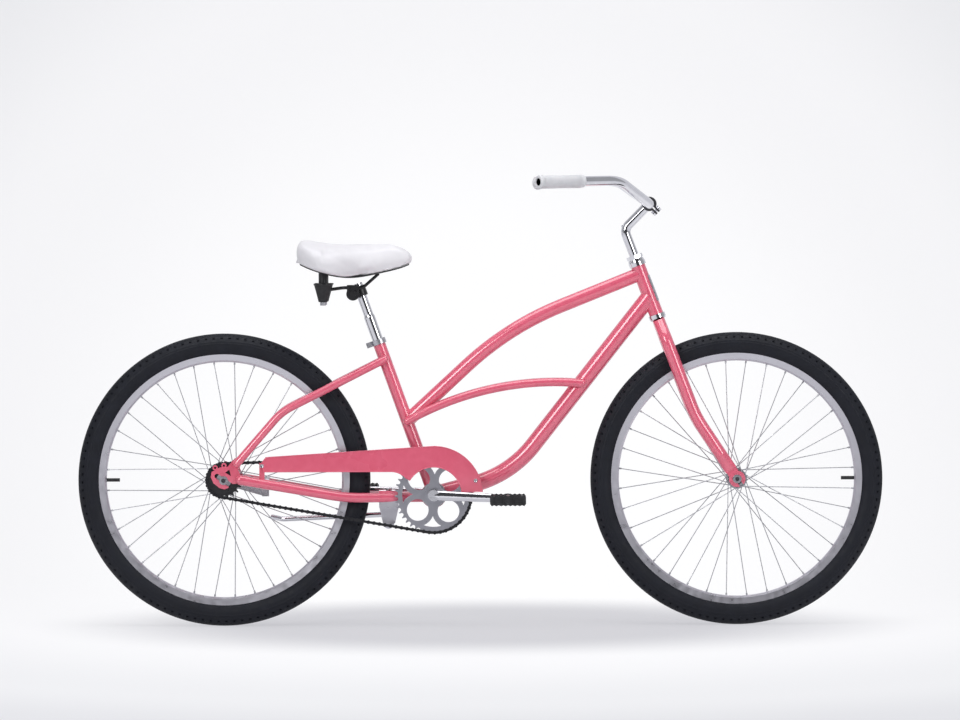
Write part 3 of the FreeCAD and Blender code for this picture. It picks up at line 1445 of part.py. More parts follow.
def chainring():
    """A flat toothed ring with four round openings and four rim windows."""
    inner = ring_middle + LEFT * (size("sprocket_thickness") / 2)
    face = sprocket_face(inner, size("chainring_teeth"), ring_pitch_radius, upper_normal)
    window = disc(inner, size("chainring_window_diameter") / 2)
    window = window.cut(disc(inner, size("chainring_hub_diameter") / 2))
    for quarter in range(4):
        spot = inner + turn(45 + 90 * quarter - size("crank_rest_drop")) * (size("chainring_hole_circle") / 2)
        window = window.cut(disc(spot, size("chainring_ring_diameter") / 2))
        face = face.cut(disc(spot, size("chainring_hole_diameter") / 2))
    blank = plate("chainring_blank", face.cut(window), "sprocket_thickness", RIGHT)
    hole = cylinder("chainring_bore", "spindle_diameter / 2", "sprocket_thickness", inner, RIGHT)
    keep(cut("chainring", blank, hole), "chainring")


def driver_and_cog():
    """The driver that the chain turns, and the toothed cog with its plain black cover."""
    bore, seat = "rear_axle_diameter / 2 + running_fit", "cog_bore / 2"
    inside, shoulder = f"{MOUTH} - running_fit", "cog_bore / 2 + 3"
    back = "chain_line - sprocket_thickness / 2"
    profile = [(bore, f"-({DRIVER_END})"), (seat, f"-({DRIVER_END})"), (seat, f"-({back})"),
               (shoulder, f"-({back})"),
               (shoulder, "-(hub_right_end + body_gap)"), (inside, "-(hub_right_end + body_gap)"),
               (inside, "-(hub_right_end - driver_depth)"), (bore, "-(hub_right_end - driver_depth)")]
    keep(turned("hub_driver", profile, rear_axle, LEFT), "hub_driver")
    lead = math.ceil(ring_run + straight_run) - ring_run - straight_run
    inner = cog_middle + LEFT * (size("sprocket_thickness") / 2)
    face = sprocket_face(inner, size("cog_teeth"), cog_pitch_radius,
                         lower_normal - 360 * lead / size("cog_teeth"))
    blank = plate("cog_blank", face, "sprocket_thickness", RIGHT)
    hole = cylinder("cog_hole", "cog_bore / 2", "sprocket_thickness", inner, RIGHT)
    cover = ring("cog_cover_disc", "cog_bore / 2", "cog_cover_diameter / 2", "sprocket_thickness / 2",
                 "sprocket_thickness / 2 + cog_cover", cog_middle, RIGHT)
    keep(grouped("rear_cog", cut("cog", blank, hole), cover), "rear_cog")


def link_plate(half_pitch, low, bore):
    """A waisted link plate, drawn at the origin with the chain along X."""
    thick, height = size("link_plate"), size("link_height")
    waist = size("link_waist")
    shape = Part.makeBox(2 * half_pitch, thick, waist, Vector(-half_pitch, low, -waist / 2))
    for end in (-half_pitch, half_pitch):
        shape = shape.fuse(Part.makeCylinder(height / 2, thick, Vector(end, low, 0), LEFT))
    for end in (-half_pitch, half_pitch):
        shape = shape.cut(Part.makeCylinder(bore, thick, Vector(end, low, 0), LEFT))
    return shape


def chain_links():
    """An inner link with its two rollers, and an outer link with its two pins."""
    half, width, thick = size("chain_pitch") / 2, size("chain_inner_width"), size("link_plate")
    pin, loose = size("pin_diameter") / 2, size("pin_diameter") / 2 + size("running_fit")
    lift = width / 2 + thick + 2 * size("running_fit")
    reach = lift + thick + size("pin_overhang")
    inner = link_plate(half, width / 2, loose).fuse(link_plate(half, -width / 2 - thick, loose))
    outer = link_plate(half, lift, pin).fuse(link_plate(half, -lift - thick, pin))
    for end in (-half, half):
        roller = Part.makeCylinder(size("roller_diameter") / 2, width, Vector(end, -width / 2, 0), LEFT)
        inner = inner.fuse(roller.cut(Part.makeCylinder(loose, width, Vector(end, -width / 2, 0), LEFT)))
        outer = outer.fuse(Part.makeCylinder(pin, 2 * reach, Vector(end, -reach, 0), LEFT))
    return inner.removeSplitter(), outer.removeSplitter()


def chain():
    inner, outer = chain_links()
    links = []
    for i in range(int(size("chain_links"))):
        start, end = chain_point(i), chain_point((i + 1) % size("chain_links"))
        angle = math.degrees(math.atan2(end.z - start.z, end.x - start.x))
        link = (inner if i % 2 == 0 else outer).copy()
        link.Placement = Placement((start + end) * 0.5, Rotation(RIGHT, angle))
        links.append(link)
    keep(feature("chain", Part.makeCompound(links)), "chain")


# Bottom bracket, crank and pedals

SHELL_FLOOR = "shell_width / 2 - shell_cup_depth + shell_cup_wall"
CONE_FACE = f"{SHELL_FLOOR} + shell_ball_diameter + 2 * running_fit"
CONE_END = "shell_width / 2 + shell_lip + cone_reach"


def bottom_bracket():
    """Two pressed cups with their balls, and the cones on the crank's spindle."""
    bore, wall = "shell_bore / 2", "shell_bore / 2 - shell_cup_wall"
    back, eye = "shell_width / 2 - shell_cup_depth", "spindle_diameter / 2 + cup_eye_clearance"
    lip, end = "shell_diameter / 2 - cup_lip_step", "shell_width / 2 + shell_lip"
    profile = [(eye, back), (eye, SHELL_FLOOR), (wall, SHELL_FLOOR), (wall, end), (lip, end),
               (lip, "shell_width / 2"), (bore, "shell_width / 2"), (bore, back)]
    cups = [turned("bracket_cup_right", profile, crank_axis, RIGHT),
            turned("bracket_cup_left", profile, crank_axis, LEFT)]
    keep(grouped("bottom_bracket_cups", *cups), "bottom_bracket_cups")
    shaft, cone = "spindle_diameter / 2", f"{wall} - cone_clearance"
    right = [(shaft, CONE_FACE), (cone, CONE_FACE), (cone, CONE_END),
             ("spindle_diameter / 2 + cone_nose_wall", CONE_END),
             ("spindle_diameter / 2 + cone_nose_wall", "chain_line - sprocket_thickness / 2"),
             (shaft, "chain_line - sprocket_thickness / 2")]
    left = [(shaft, CONE_FACE), (cone, CONE_FACE), (cone, f"{CONE_END} + cone_washer"),
            (shaft, f"{CONE_END} + cone_washer")]
    nut_side = size("shell_width") / 2 + size("shell_lip") + size("cone_reach") + size("cone_washer")
    nut_foot = crank_axis + LEFT * nut_side
    blank = plate("crank_nut_blank", hexagon(nut_foot, size("crank_nut_width")), "crank_nut_height", LEFT)
    thread = cylinder("crank_nut_thread", "spindle_diameter / 2", "crank_nut_height", nut_foot, LEFT)
    cones = [turned("crank_cone_right", right, crank_axis, RIGHT),
             turned("crank_cone_left", left, crank_axis, LEFT)]
    keep(grouped("crank_cones", *cones, cut("crank_nut", blank, thread)), "crank_cones")


def bracket_balls():
    lift = (size("shell_width") / 2 - size("shell_cup_depth") + size("shell_cup_wall") + size("running_fit")
            + size("shell_ball_diameter") / 2)
    rings = []
    for side in (1, -1):
        rings += balls(int(size("shell_ball_count")), size("shell_ball_circle"),
                       size("shell_ball_diameter"),
                       crank_axis + LEFT * (side * lift), LEFT)
    return rings


def pedal_spot(side):
    """The middle of a crank's pedal eye. The right arm points forward at rest, the left one back."""
    angle = -size("crank_rest_drop") if side < 0 else 180 - size("crank_rest_drop")
    return crank_axis + turn(angle) * size("crank_length") + LEFT * (side * size("crank_end_offset"))


def crank_arm(name, side):
    root = crank_axis + LEFT * (side * size("crank_root_offset"))
    end = pedal_spot(side)
    run = Vector(end.x - root.x, 0, end.z - root.z).normalize()
    sections = []
    for label, point, height, thickness in [("root", root, "crank_root_height", "crank_root_thickness"),
                                            ("end", end, "crank_end_height", "crank_end_thickness")]:
        oval = doc.addObject("Part::Ellipse", f"{name}_{label}")
        oval.setExpression("MajorRadius", bound(f"{height} / 2"))
        oval.setExpression("MinorRadius", bound(f"{thickness} / 2"))
        oval.Placement = Placement(point, facing(run))
        sections.append(oval)
    arm = doc.addObject("Part::Loft", name)
    arm.Sections = sections
    arm.Solid = True
    arm.Ruled = True
    boss = cylinder(f"{name}_boss", "crank_boss_diameter / 2", "crank_eye_width",
                    end + RIGHT * (size("crank_eye_width") / 2), LEFT)
    knuckle = cylinder(f"{name}_knuckle", "crank_root_height / 2 + crank_knuckle_wall",
                       "crank_root_thickness", root + RIGHT * (size("crank_root_thickness") / 2), LEFT)
    return [arm, boss, knuckle]


def crank():
    """A one-piece crank: both arms and the spindle are forged from one bar."""
    spindle = cylinder("crank_spindle", "spindle_diameter / 2", "2 * crank_root_offset",
                       crank_axis + RIGHT * size("crank_root_offset"), LEFT)
    flange = cylinder("crank_flange", "crank_flange_diameter / 2", "crank_flange_width",
                      crank_axis + RIGHT * (size("chain_line") + size("sprocket_thickness") / 2), RIGHT)
    whole = fused("crank_stock", spindle, flange, *crank_arm("right_arm", -1), *crank_arm("left_arm", 1))
    eyes = []
    for i, side in enumerate((-1, 1)):
        foot = pedal_spot(side) + RIGHT * (size("crank_eye_width") / 2)
        eyes.append(cylinder(f"pedal_eye_{i}", "pedal_axle_diameter / 2", "crank_eye_width", foot, LEFT))
    keep(cut("crank", whole, *eyes), "crank")
    keep(grouped("pedal_axles", pedal_axle("pedal_axle_right", -1), pedal_axle("pedal_axle_left", 1)),
         "pedal_axles")
    pedal("pedal_right", -1)
    pedal("pedal_left", 1)


def pedal_axle(name, side):
    """A thread in the crank's eye, a spanner flange and a plain journal for the pedal."""
    eye, flange = "pedal_axle_diameter / 2", "pedal_axle_diameter / 2 + pedal_flange_wall"
    journal, root = "pedal_axle_diameter / 2 - pedal_journal_step", "crank_eye_width / 2"
    tip = "crank_eye_width / 2 + pedal_flange + pedal_width - pedal_end"
    profile = [("0", f"-{root}"), (eye, f"-{root}"), (eye, root), (flange, root),
               (flange, f"{root} + pedal_flange"), (journal, f"{root} + pedal_flange"),
               (journal, tip), ("0", tip)]
    return turned(name, profile, pedal_spot(side), LEFT * side)


def pedal_cage(centre):
    """The notched outline of a pedal's end plate."""
    half_length, half_height = size("pedal_length") / 2, size("pedal_height") / 2
    count = 2 * int(size("pedal_notches"))
    reach, shoulder = half_length - size("pedal_corner"), half_height - size("pedal_shoulder")
    top = [(reach - 2 * reach * i / count, half_height - (i % 2) * size("notch_depth"))
           for i in range(count + 1)]
    points = [(half_length, shoulder)] + top + [(-half_length, shoulder)]
    points += [(-x, -z) for x, z in points]
    return polygon([centre + Vector(x, 0, z) for x, z in points])


def pedal(name, side):
    """A plastic cage of two end plates and two tread bars round a barrel on the axle."""
    outward = LEFT * side
    start = pedal_spot(side) + outward * (size("crank_eye_width") / 2)
    start += outward * (size("pedal_flange") + size("body_gap"))
    stop = start + outward * (size("pedal_width") - size("pedal_end"))
    barrel = cylinder(f"{name}_barrel", "pedal_axle_diameter / 2 + pedal_barrel_wall",
                      "pedal_width", start, outward)
    plates = [plate(f"{name}_plate_{i}", pedal_cage(point), "pedal_end", outward)
              for i, point in enumerate([start, stop])]
    bars = []
    low = start if side > 0 else start + outward * size("pedal_width")
    for i, ahead in enumerate((1, -1)):
        middle = ahead * (size("pedal_length") / 2 - size("pedal_bar") / 2 - size("pedal_bar_setback"))
        corner = low + Vector(middle - size("pedal_bar") / 2, 0,
                              size("pedal_bar_inset") - size("pedal_height") / 2)
        bars.append(box(f"{name}_bar_{i}", "pedal_bar", "pedal_width",
                        "pedal_height - 2 * pedal_bar_inset", Placement(corner, Rotation())))
    web_corner = (start + stop) * 0.5 + Vector(size("pedal_bar") - size("pedal_length") / 2,
                                               -size("pedal_end") / 2, -size("pedal_bar") / 2)
    web = box(f"{name}_web", "pedal_length - 2 * pedal_bar", "pedal_end", "pedal_bar",
              Placement(web_corner, Rotation()))
    bore = cylinder(f"{name}_bore", "pedal_axle_diameter / 2 - pedal_journal_step + running_fit",
                    "pedal_width - pedal_end", start, outward)
    keep(cut(name, fused(f"{name}_stock", barrel, web, *plates, *bars), bore), name)


# Chain guard

guard_inner = size("chain_line") + size("chain_inner_width") / 2 + 2 * size("link_plate")
guard_inner += size("pin_overhang") + 2 * size("running_fit") + size("guard_clearance")


def guard_point(ahead, rise):
    """A point of the guard's inner face, from the crank axis."""
    return crank_axis + Vector(ahead, -guard_inner, rise)


def guard_face(margin):
    """A long cover over the top of the chain, with a half ring round the chainring.

    The margin draws its whole outline in.
    """
    outer, inner = size("guard_outer_radius") - margin, size("guard_inner_radius") + margin
    low, bottom = size("guard_front_height") + margin, size("guard_bottom") + margin
    rear_top, back = size("guard_rear_top") - margin, margin - size("guard_length")
    tail_height = (size("guard_rear_top") + size("guard_bottom")) / 2 - size("guard_tail_drop")
    start = guard_point(math.sqrt(outer ** 2 - low ** 2), low)
    crest = guard_point(0, outer)
    shoulder = guard_point(back * size("guard_shoulder"), rear_top)
    tail = guard_point(back, tail_height)
    heel = guard_point(back + size("guard_heel"), bottom)
    waist = guard_point(-size("guard_waist"), bottom)

    def cusp_point(reach):
        spot = turn(size("guard_cusp_angle") - math.degrees(math.asin(margin / reach))) * reach
        return guard_point(spot.x, spot.z)
    lip = cusp_point(inner + size("guard_cusp"))
    inner_start = cusp_point(inner)
    inner_end = guard_point(math.sqrt(inner ** 2 - low ** 2), low)
    bow = turn(45) * outer
    edges = [Part.Arc(start, guard_point(bow.x, bow.z), crest).toShape(),
             Part.LineSegment(crest, shoulder).toShape(), Part.LineSegment(shoulder, tail).toShape(),
             Part.LineSegment(tail, heel).toShape(), Part.LineSegment(heel, waist).toShape(),
             Part.Arc(waist, (waist + lip) * 0.5 + UP * size("guard_cusp_bow"), lip).toShape(),
             Part.LineSegment(lip, inner_start).toShape(),
             Part.Arc(inner_start, guard_point(0, inner), inner_end).toShape(),
             Part.LineSegment(inner_end, start).toShape()]
    return Part.Face(Part.Wire(edges))


def guard_screw(name, spot):
    """A pan head on the guard's face and a shank through to its fitting."""
    shank, crown = "guard_screw_diameter / 2", "guard_thickness + guard_screw_head"
    profile = [("0", "-strap_thickness"), (shank, "-strap_thickness"), (shank, "guard_thickness"),
               ("guard_screw_diameter", "guard_thickness"), ("guard_screw_crown / 2", crown), ("0", crown)]
    hole = cylinder(f"{name}_hole", "guard_screw_diameter / 2", "guard_thickness + strap_thickness",
                    spot + LEFT * size("strap_thickness"), RIGHT)
    return turned(name, profile, spot, RIGHT), hole


def chain_guard():
    face = guard_face(0)
    sheet_metal = plate("guard_sheet", face, "guard_thickness", RIGHT)
    lip = plate("guard_lip_wall", face.cut(guard_face(size("guard_thickness"))), "guard_lip", LEFT)
    rear_rise = (size("guard_rear_top") + size("guard_bottom")) / 2
    rear_spot = guard_point(size("guard_strap_inset") - size("guard_length"),
                            rear_rise - size("guard_screw_drop"))
    front_spot = guard_point(size("guard_bracket_ahead"),
                             size("guard_bracket_rise") - size("guard_screw_drop"))
    rear_screw, rear_hole = guard_screw("guard_screw_rear", rear_spot)
    front_screw, front_hole = guard_screw("guard_screw_front", front_spot)
    half, rise, drop = size("guard_strap_width") / 2, size("guard_strap_rise"), size("guard_strap_drop")
    strap_corners = [rear_spot + Vector(x, 0, z) for x, z in
                     [(-half, rise), (half, rise), (half, -drop), (-half, -drop)]]
    strap = plate("guard_strap_stock", polygon(strap_corners), "strap_thickness", LEFT)
    rear_strap = cut("guard_strap", strap, chainstay_bar, rear_hole)
    corner = front_spot + Vector(-half, 0, size("guard_screw_drop") - size("strap_thickness"))
    shelf = box("guard_shelf", "guard_strap_width", f"{guard_inner}", "strap_thickness",
                Placement(corner, Rotation()))
    tab_drop = size("guard_tab_height") - size("strap_thickness")
    tab = box("guard_tab", "guard_strap_width", "strap_thickness", "guard_tab_height",
              Placement(corner - UP * tab_drop, Rotation()))
    bracket = cut("guard_bracket", fused("guard_bracket_stock", shelf, tab), down_bar, front_hole)
    sheet_metal = fused("guard_stock", sheet_metal, lip)
    keep(cut("chain_guard", sheet_metal, strap, shelf, tab, rear_hole, front_hole), "chain_guard")
    keep(grouped("chain_guard_fittings", rear_strap, bracket, rear_screw, front_screw),
         "chain_guard_fittings")


# Kickstand

kick_middle = crank_axis + Vector(-size("kickstand_back"), size("kickstand_side"),
                                  -size("kickstand_drop"))
kick_folded = Rotation(UP, -size("kickstand_splay")).multVec(turn(180 + size("kickstand_droop")))
kick_down = Rotation(FORWARD, size("kickstand_lean")).multVec(turn(size("kickstand_forward") - 90))
kick_out = kick_down.cross(kick_folded).normalize()


def kickstand():
    """A clamp under the chain stays holds the pivot of a single leg."""
    stays = [chainstay_bar, mirrored("kickstand_stay_left", chainstay_bar)]
    length, width = size("kickstand_bracket_length"), size("kickstand_bracket_width")
    stay_height = crank_axis.z - size("chainstay_bend_drop")
    low = stay_height - size("chainstay_diameter") / 2 - size("kickstand_block")
    corner = Vector(kick_middle.x - length / 2, -width / 2, low)
    block = box("kickstand_block_stock", "kickstand_bracket_length", "kickstand_bracket_width",
                "kickstand_block + chainstay_diameter / 2 - kickstand_clamp_gap",
                Placement(corner, Rotation()))
    top = box("kickstand_top_stock", "kickstand_bracket_length", "kickstand_bracket_width",
              "kickstand_top + chainstay_diameter / 2 - kickstand_clamp_gap",
              Placement(Vector(corner.x, corner.y, stay_height + size("kickstand_clamp_gap")), Rotation()))
    chin = size("kickstand_pin_diameter") / 2 + size("kickstand_boss_wall") + size("kickstand_chin")
    cheek, foot = kick_middle.z - chin / 2, kick_middle.z - chin
    outline = [(-length / 2, low), (length / 2, low), (chin, cheek), (chin / 3, foot),
               (-chin / 3, foot), (-chin, cheek)]
    front = -size("kickstand_housing") + kick_middle.y
    housing = plate("kickstand_housing_stock",
                    polygon([Vector(kick_middle.x + x, front, z) for x, z in outline]),
                    "kickstand_housing", LEFT)
    pin_end = kick_middle - kick_out * size("kickstand_pin_depth")
    boss = cylinder("kickstand_boss", "kickstand_pin_diameter / 2 + kickstand_boss_wall",
                    "kickstand_pin_depth + kickstand_boss_wall + kickstand_boss_reach",
                    pin_end - kick_out * size("kickstand_boss_wall"), kick_out)
    bore = cylinder("kickstand_bore", "kickstand_pin_diameter / 2 + running_fit",
                    "2 * (kickstand_pin_depth + kickstand_boss_reach)", pin_end, kick_out)
    bolt_foot = Vector(kick_middle.x, 0, low + size("kickstand_bolt_head"))
    shank = "kickstand_block - kickstand_bolt_head + chainstay_diameter + kickstand_top"
    hole = cylinder("kickstand_bolt_hole", "kickstand_bolt_diameter / 2", shank, bolt_foot, UP)
    seat = cut("kickstand_seat", block, *stays, hole)
    body = cut("kickstand_body", fused("kickstand_body_stock", housing, boss), bore, hole)
    cap = cut("kickstand_cap", top, *stays, hole)
    thread, head = "kickstand_bolt_diameter / 2", "kickstand_bolt_head_width / 2"
    tip = f"{shank} + kickstand_bolt_head"
    profile = [("0", "0"), (thread, "0"), (thread, shank), (head, shank), (head, tip), ("0", tip)]
    bolt = turned("kickstand_bolt", profile, bolt_foot, UP)
    keep(grouped("kickstand_bracket", body, seat, cap, bolt), "kickstand_bracket")


def kickstand_leg():
    """A round bar with a turned-out foot. Its pin turns in the bracket's boss."""
    elbow = kick_middle + kick_out * (size("kickstand_boss_reach") + size("kickstand_diameter") / 2 + 1)
    pin = cylinder("kickstand_pin", "kickstand_pin_diameter / 2",
                   "kickstand_pin_depth + kickstand_boss_reach + kickstand_diameter / 2 + 1 - body_gap",
                   kick_middle - kick_out * (size("kickstand_pin_depth") - size("body_gap")), kick_out)
    knee = elbow + kick_folded * (size("kickstand_length") - size("kickstand_foot"))
    toe = knee + (kick_folded + kick_out * 0.5).normalize() * size("kickstand_foot")
    bar = swept("kickstand_bar", path([elbow, knee, toe], [size("kickstand_diameter") * 2]),
                "kickstand_diameter / 2")
    knob = sphere("kickstand_elbow", "kickstand_pin_diameter / 2", elbow)
    keep(fused("kickstand_leg", pin, knob, bar), "kickstand_leg")


# Seat clamp, seat post and saddle

seat_back = turn(90 - size("seat_angle")) * -1
seat_top = on_seat(size("seat_tube_length"))
clamp_centre = on_seat(size("seat_tube_length") + size("seatpost_height") - size("saddle_clamp_drop"))
saddle_pivot = clamp_centre + seat_back * size("saddle_clamp_setback")
saddle_low = size("rail_rise") + size("saddle_rise")


def seat_clamp():
    """A split collar round the top of the seat tube, with its bolt behind."""
    foot = seat_top - seat_line * size("seat_clamp_height")
    outer = cylinder("seat_collar", "seat_tube_diameter / 2 + seat_clamp_wall", "seat_clamp_height", foot,
                     seat_line)
    turned_back = Rotation(seat_back, RIGHT, seat_line, "ZXY")
    half = size("seat_ear_width") / 2
    ears = box("seat_ears", "seat_tube_diameter / 2 + seat_ear_length", "seat_ear_width",
               "seat_clamp_height", Placement(foot + LEFT * half, turned_back))
    slit = box("seat_slit", "seat_tube_diameter / 2 + seat_ear_length", "clamp_slit", "seat_clamp_height",
               Placement(foot + LEFT * (size("clamp_slit") / 2), turned_back))
    spot = foot + seat_line * (size("seat_clamp_height") / 2)
    spot += seat_back * (size("seat_tube_diameter") / 2 + size("seat_clamp_wall"))
    spot += seat_back * size("seat_bolt_setback")
    hole = cylinder("seat_bolt_hole", "seat_bolt_diameter / 2", "seat_ear_width", spot + RIGHT * half,
                    LEFT)
    collar = cut("seat_collar_split", fused("seat_collar_stock", outer, ears), seat_rod, slit, hole)
    head, shank, ear = "seat_bolt_head_width / 2", "seat_bolt_diameter / 2", "seat_ear_width / 2"
    tip = f"{ear} + seat_bolt_head"
    profile = [("0", f"-({tip})"), (head, f"-({tip})"), (head, f"-{ear}"), (shank, f"-{ear}"),
               (shank, ear), (head, ear), (head, tip), ("0", tip)]
    keep(grouped("seat_clamp", collar, turned("seat_bolt", profile, spot, LEFT)), "seat_clamp")


def seatpost():
    bore, top = "seatpost_top_diameter / 2 - seatpost_wall", "seatpost_top_diameter / 2"
    profile = [(bore, "-seatpost_insertion"), ("seatpost_diameter / 2", "-seatpost_insertion"),
               ("seatpost_diameter / 2", "seatpost_step_height"),
               (top, "seatpost_step_height + seatpost_step_length"), (top, "seatpost_height"),
               ("0", "seatpost_height"), ("0", "seatpost_height - seatpost_wall"),
               (bore, "seatpost_height - seatpost_wall")]
    keep(turned("seatpost", profile, seat_top, seat_line), "seatpost")


def saddle_clamp():
    """A band round the post with a cross barrel behind it, and the bolt through the two discs."""
    band_half = size("saddle_band_height") / 2
    wide = size("seatpost_top_diameter") / 2 + size("saddle_band_wall")
    post = cylinder("saddle_post_rod", "seatpost_top_diameter / 2", "2 * saddle_band_height",
                    clamp_centre - seat_line * (2 * band_half), seat_line)
    band = cylinder("saddle_band", "seatpost_top_diameter / 2 + saddle_band_wall", "saddle_band_height",
                    clamp_centre - seat_line * band_half, seat_line)
    barrel = cylinder("saddle_barrel", "saddle_bolt_diameter / 2 + saddle_barrel_wall",
                      "seatpost_top_diameter + 2 * saddle_band_wall",
                      saddle_pivot + RIGHT * wide, LEFT)
    hole = cylinder("saddle_bolt_hole", "saddle_bolt_diameter / 2",
                    "seatpost_top_diameter + 2 * saddle_band_wall",
                    saddle_pivot + RIGHT * wide, LEFT)
    body = cut("saddle_clamp_body", fused("saddle_clamp_stock", band, barrel), post, hole)
    shank, nut = "saddle_bolt_diameter / 2", "saddle_nut_width / 2"
    seat = "seatpost_top_diameter / 2 + saddle_band_wall + saddle_disc_thickness + 2 * body_gap"
    tip = f"-({seat} + saddle_nut_height)"
    half_bolt = [("0", tip), (nut, tip), (nut, f"-({seat})"), (shank, f"-({seat})")]
    bolt = turned("saddle_bolt", both_ways(half_bolt), saddle_pivot, LEFT)
    keep(grouped("saddle_clamp", body, bolt), "saddle_clamp")


def saddle_discs(rails):
    """The two side discs turn on the clamp's bolt and hold the rails in their jaws."""
    start = size("seatpost_top_diameter") / 2 + size("saddle_band_wall") + size("body_gap")
    inner = saddle_pivot + RIGHT * start
    wheel_disc = cylinder("saddle_disc", "saddle_disc_diameter / 2", "saddle_disc_thickness", inner,
                          RIGHT)
    corner = inner + Vector(-size("saddle_jaw_width") / 2, -size("saddle_disc_thickness"), 0)
    jaw = box("saddle_jaw", "saddle_jaw_width", "saddle_disc_thickness",
              "rail_rise + rail_diameter / 2 + saddle_jaw_cap", Placement(corner, Rotation()))
    bore = cylinder("saddle_disc_bore", "saddle_bolt_diameter / 2 + running_fit", "saddle_disc_thickness",
                    inner, RIGHT)
    pair("saddle_discs", cut("saddle_disc_right", fused("saddle_disc_stock", wheel_disc, jaw), bore,
                             rails))


# Along the saddle, as shares of its length, half width and height: station, width, underside, crown
SADDLE_STATIONS = [(0.0, 0.5, 0.4, 0.87), (0.03, 0.76, 0.35, 0.98), (0.085, 0.89, 0.27, 1.0),
                   (0.19, 1.0, 0.15, 0.91), (0.37, 0.87, 0.02, 0.84), (0.55, 0.55, 0.02, 0.84),
                   (0.72, 0.34, 0.12, 0.89), (0.89, 0.26, 0.25, 0.83), (0.965, 0.19, 0.34, 0.69),
                   (1.0, 0.09, 0.43, 0.56)]
# Across the saddle, as shares of the half width and of the height there: underside edge, belly, shoulder
SADDLE_EDGE = 0.86
SADDLE_BELLY = 0.42
SADDLE_SHOULDER = (0.84, 0.82)


def saddle_station(along, wide, low, high):
    """Where a station stands, its half width, its underside and its crown."""
    middle = saddle_pivot + FORWARD * (along * size("saddle_length") - size("saddle_setback"))
    floor = saddle_low + size("saddle_height") * low
    return middle, wide * size("saddle_width") / 2, floor, saddle_low + size("saddle_height") * high


def cushion_section(row):
    """A flat underside, full sides and a crowned top."""
    middle, half, low, high = saddle_station(*row)

    def spot(share, height):
        return middle + LEFT * (share * half) + UP * (low + (high - low) * height)
    shoulder, rise = SADDLE_SHOULDER
    right, left = spot(-SADDLE_EDGE, 0), spot(SADDLE_EDGE, 0)
    right_top, left_top = spot(-shoulder, rise), spot(shoulder, rise)
    return Part.Wire([Part.LineSegment(right, left).toShape(),
                      Part.Arc(left, spot(1, SADDLE_BELLY), left_top).toShape(),
                      Part.Arc(left_top, spot(0, 1), right_top).toShape(),
                      Part.Arc(right_top, spot(-1, SADDLE_BELLY), right).toShape()])


def base_section(row):
    middle, half, low, high = saddle_station(*row)
    half *= size("saddle_base_share")
    low -= size("saddle_base_thickness")
    high = low + size("saddle_base_thickness") * 2
    corners = [middle + LEFT * side + UP * height for side, height in
               [(-half, low), (half, low), (half, high), (-half, high)]]
    return Part.makePolygon(corners + corners[:1])


def saddle_rails():
    """Two round rails from the springs, through the jaws, up to the nose."""
    side = -size("rail_spacing") / 2
    inset, flat, rise = size("rail_spring_inset"), size("rail_flat") / 2, size("rail_rise")
    points = [Vector(inset - size("spring_back"), inset - size("spring_spacing") / 2,
                     rise - size("rail_spring_drop")),
              Vector(-flat, side, rise), Vector(flat, side, rise),
              Vector(size("rail_front"), -size("rail_nose_spacing") / 2,
                     saddle_low + size("rail_nose_rise"))]
    line = path([saddle_pivot + point for point in points],
                [size("rail_rear_bend"), size("rail_front_bend")])
    return swept("rail_bar", line, "rail_diameter / 2")


def saddle():
    rail = saddle_rails()
    cushion = feature("saddle_cushion",
                      Part.makeLoft([cushion_section(row) for row in SADDLE_STATIONS], True, False))
    keep(cushion, "saddle_cushion")
    stock = feature("saddle_base_stock",
                    Part.makeLoft([base_section(row) for row in SADDLE_STATIONS[1:-1]], True, False))
    keep(cut("saddle_base", stock, cushion), "saddle_base")
    pair("saddle_rails", cut("saddle_rail_right", rail, stock))
    saddle_discs(rail)
    foot = saddle_pivot + Vector(-size("spring_back"), -size("spring_spacing") / 2, -size("spring_drop"))
    bolt_radius, nut = "saddle_bolt_diameter / 2", "saddle_nut_width / 2"
    neck_radius, lip = "spring_foot_diameter / 2", "spring_top_diameter / 2 + spring_carrier_lip"
    lip_top, neck_top = "spring_height + spring_carrier_height", "spring_height + spring_neck_height"
    cone = [(bolt_radius, "0"), (neck_radius, "0"), ("spring_top_diameter / 2", "spring_height"),
            (bolt_radius, "spring_height")]
    rubber = cut("spring_rubber", turned("spring_cone", cone, foot, UP), rail)
    carrier = [("0", "spring_height"), (lip, "spring_height"), (lip, lip_top), (neck_radius, lip_top),
               (neck_radius, neck_top), ("0", neck_top)]
    neck = cut("spring_neck", turned("spring_carrier", carrier, foot, UP), stock, cushion)
    bolt_profile = [("0", "-spring_bolt_tip"), (nut, "-spring_bolt_tip"), (nut, "0"), (bolt_radius, "0"),
                    (bolt_radius, "spring_height"), ("0", "spring_height")]
    bolt = turned("spring_bolt", bolt_profile, foot, UP)
    spring = grouped("spring_right", rubber, neck, bolt)
    pair("saddle_springs", spring)


# All the sub-parts

head_badge()
headset()
fork_blades(fork_tip())
steerer()
stem()
handlebar()
front_hub(wheel("front", front_axle, 0))
rear_shell(wheel("rear", rear_axle, 180))
rear_axle_group()
brake_shoes()
brake_arm()
driver_and_cog()
chainring()
chain()
bottom_bracket()
crank()
keep(feature("bearing_balls", Part.makeCompound(headset_balls() + bracket_balls())), "bearing_balls")
chain_guard()
kickstand()
kickstand_leg()
seat_clamp()
seatpost()
saddle_clamp()
saddle()
doc.recompute()


# Checks and export

def faulty(piece):
    return any(word in piece.State for word in ("Invalid", "Error"))


failed = [piece.Name for piece in doc.Objects if faulty(piece)]
failed += [piece.Label for piece in nodes if piece.Shape.isNull() or not piece.Shape.isValid()]
if failed:
    raise RuntimeError("these objects failed: " + ", ".join(failed))

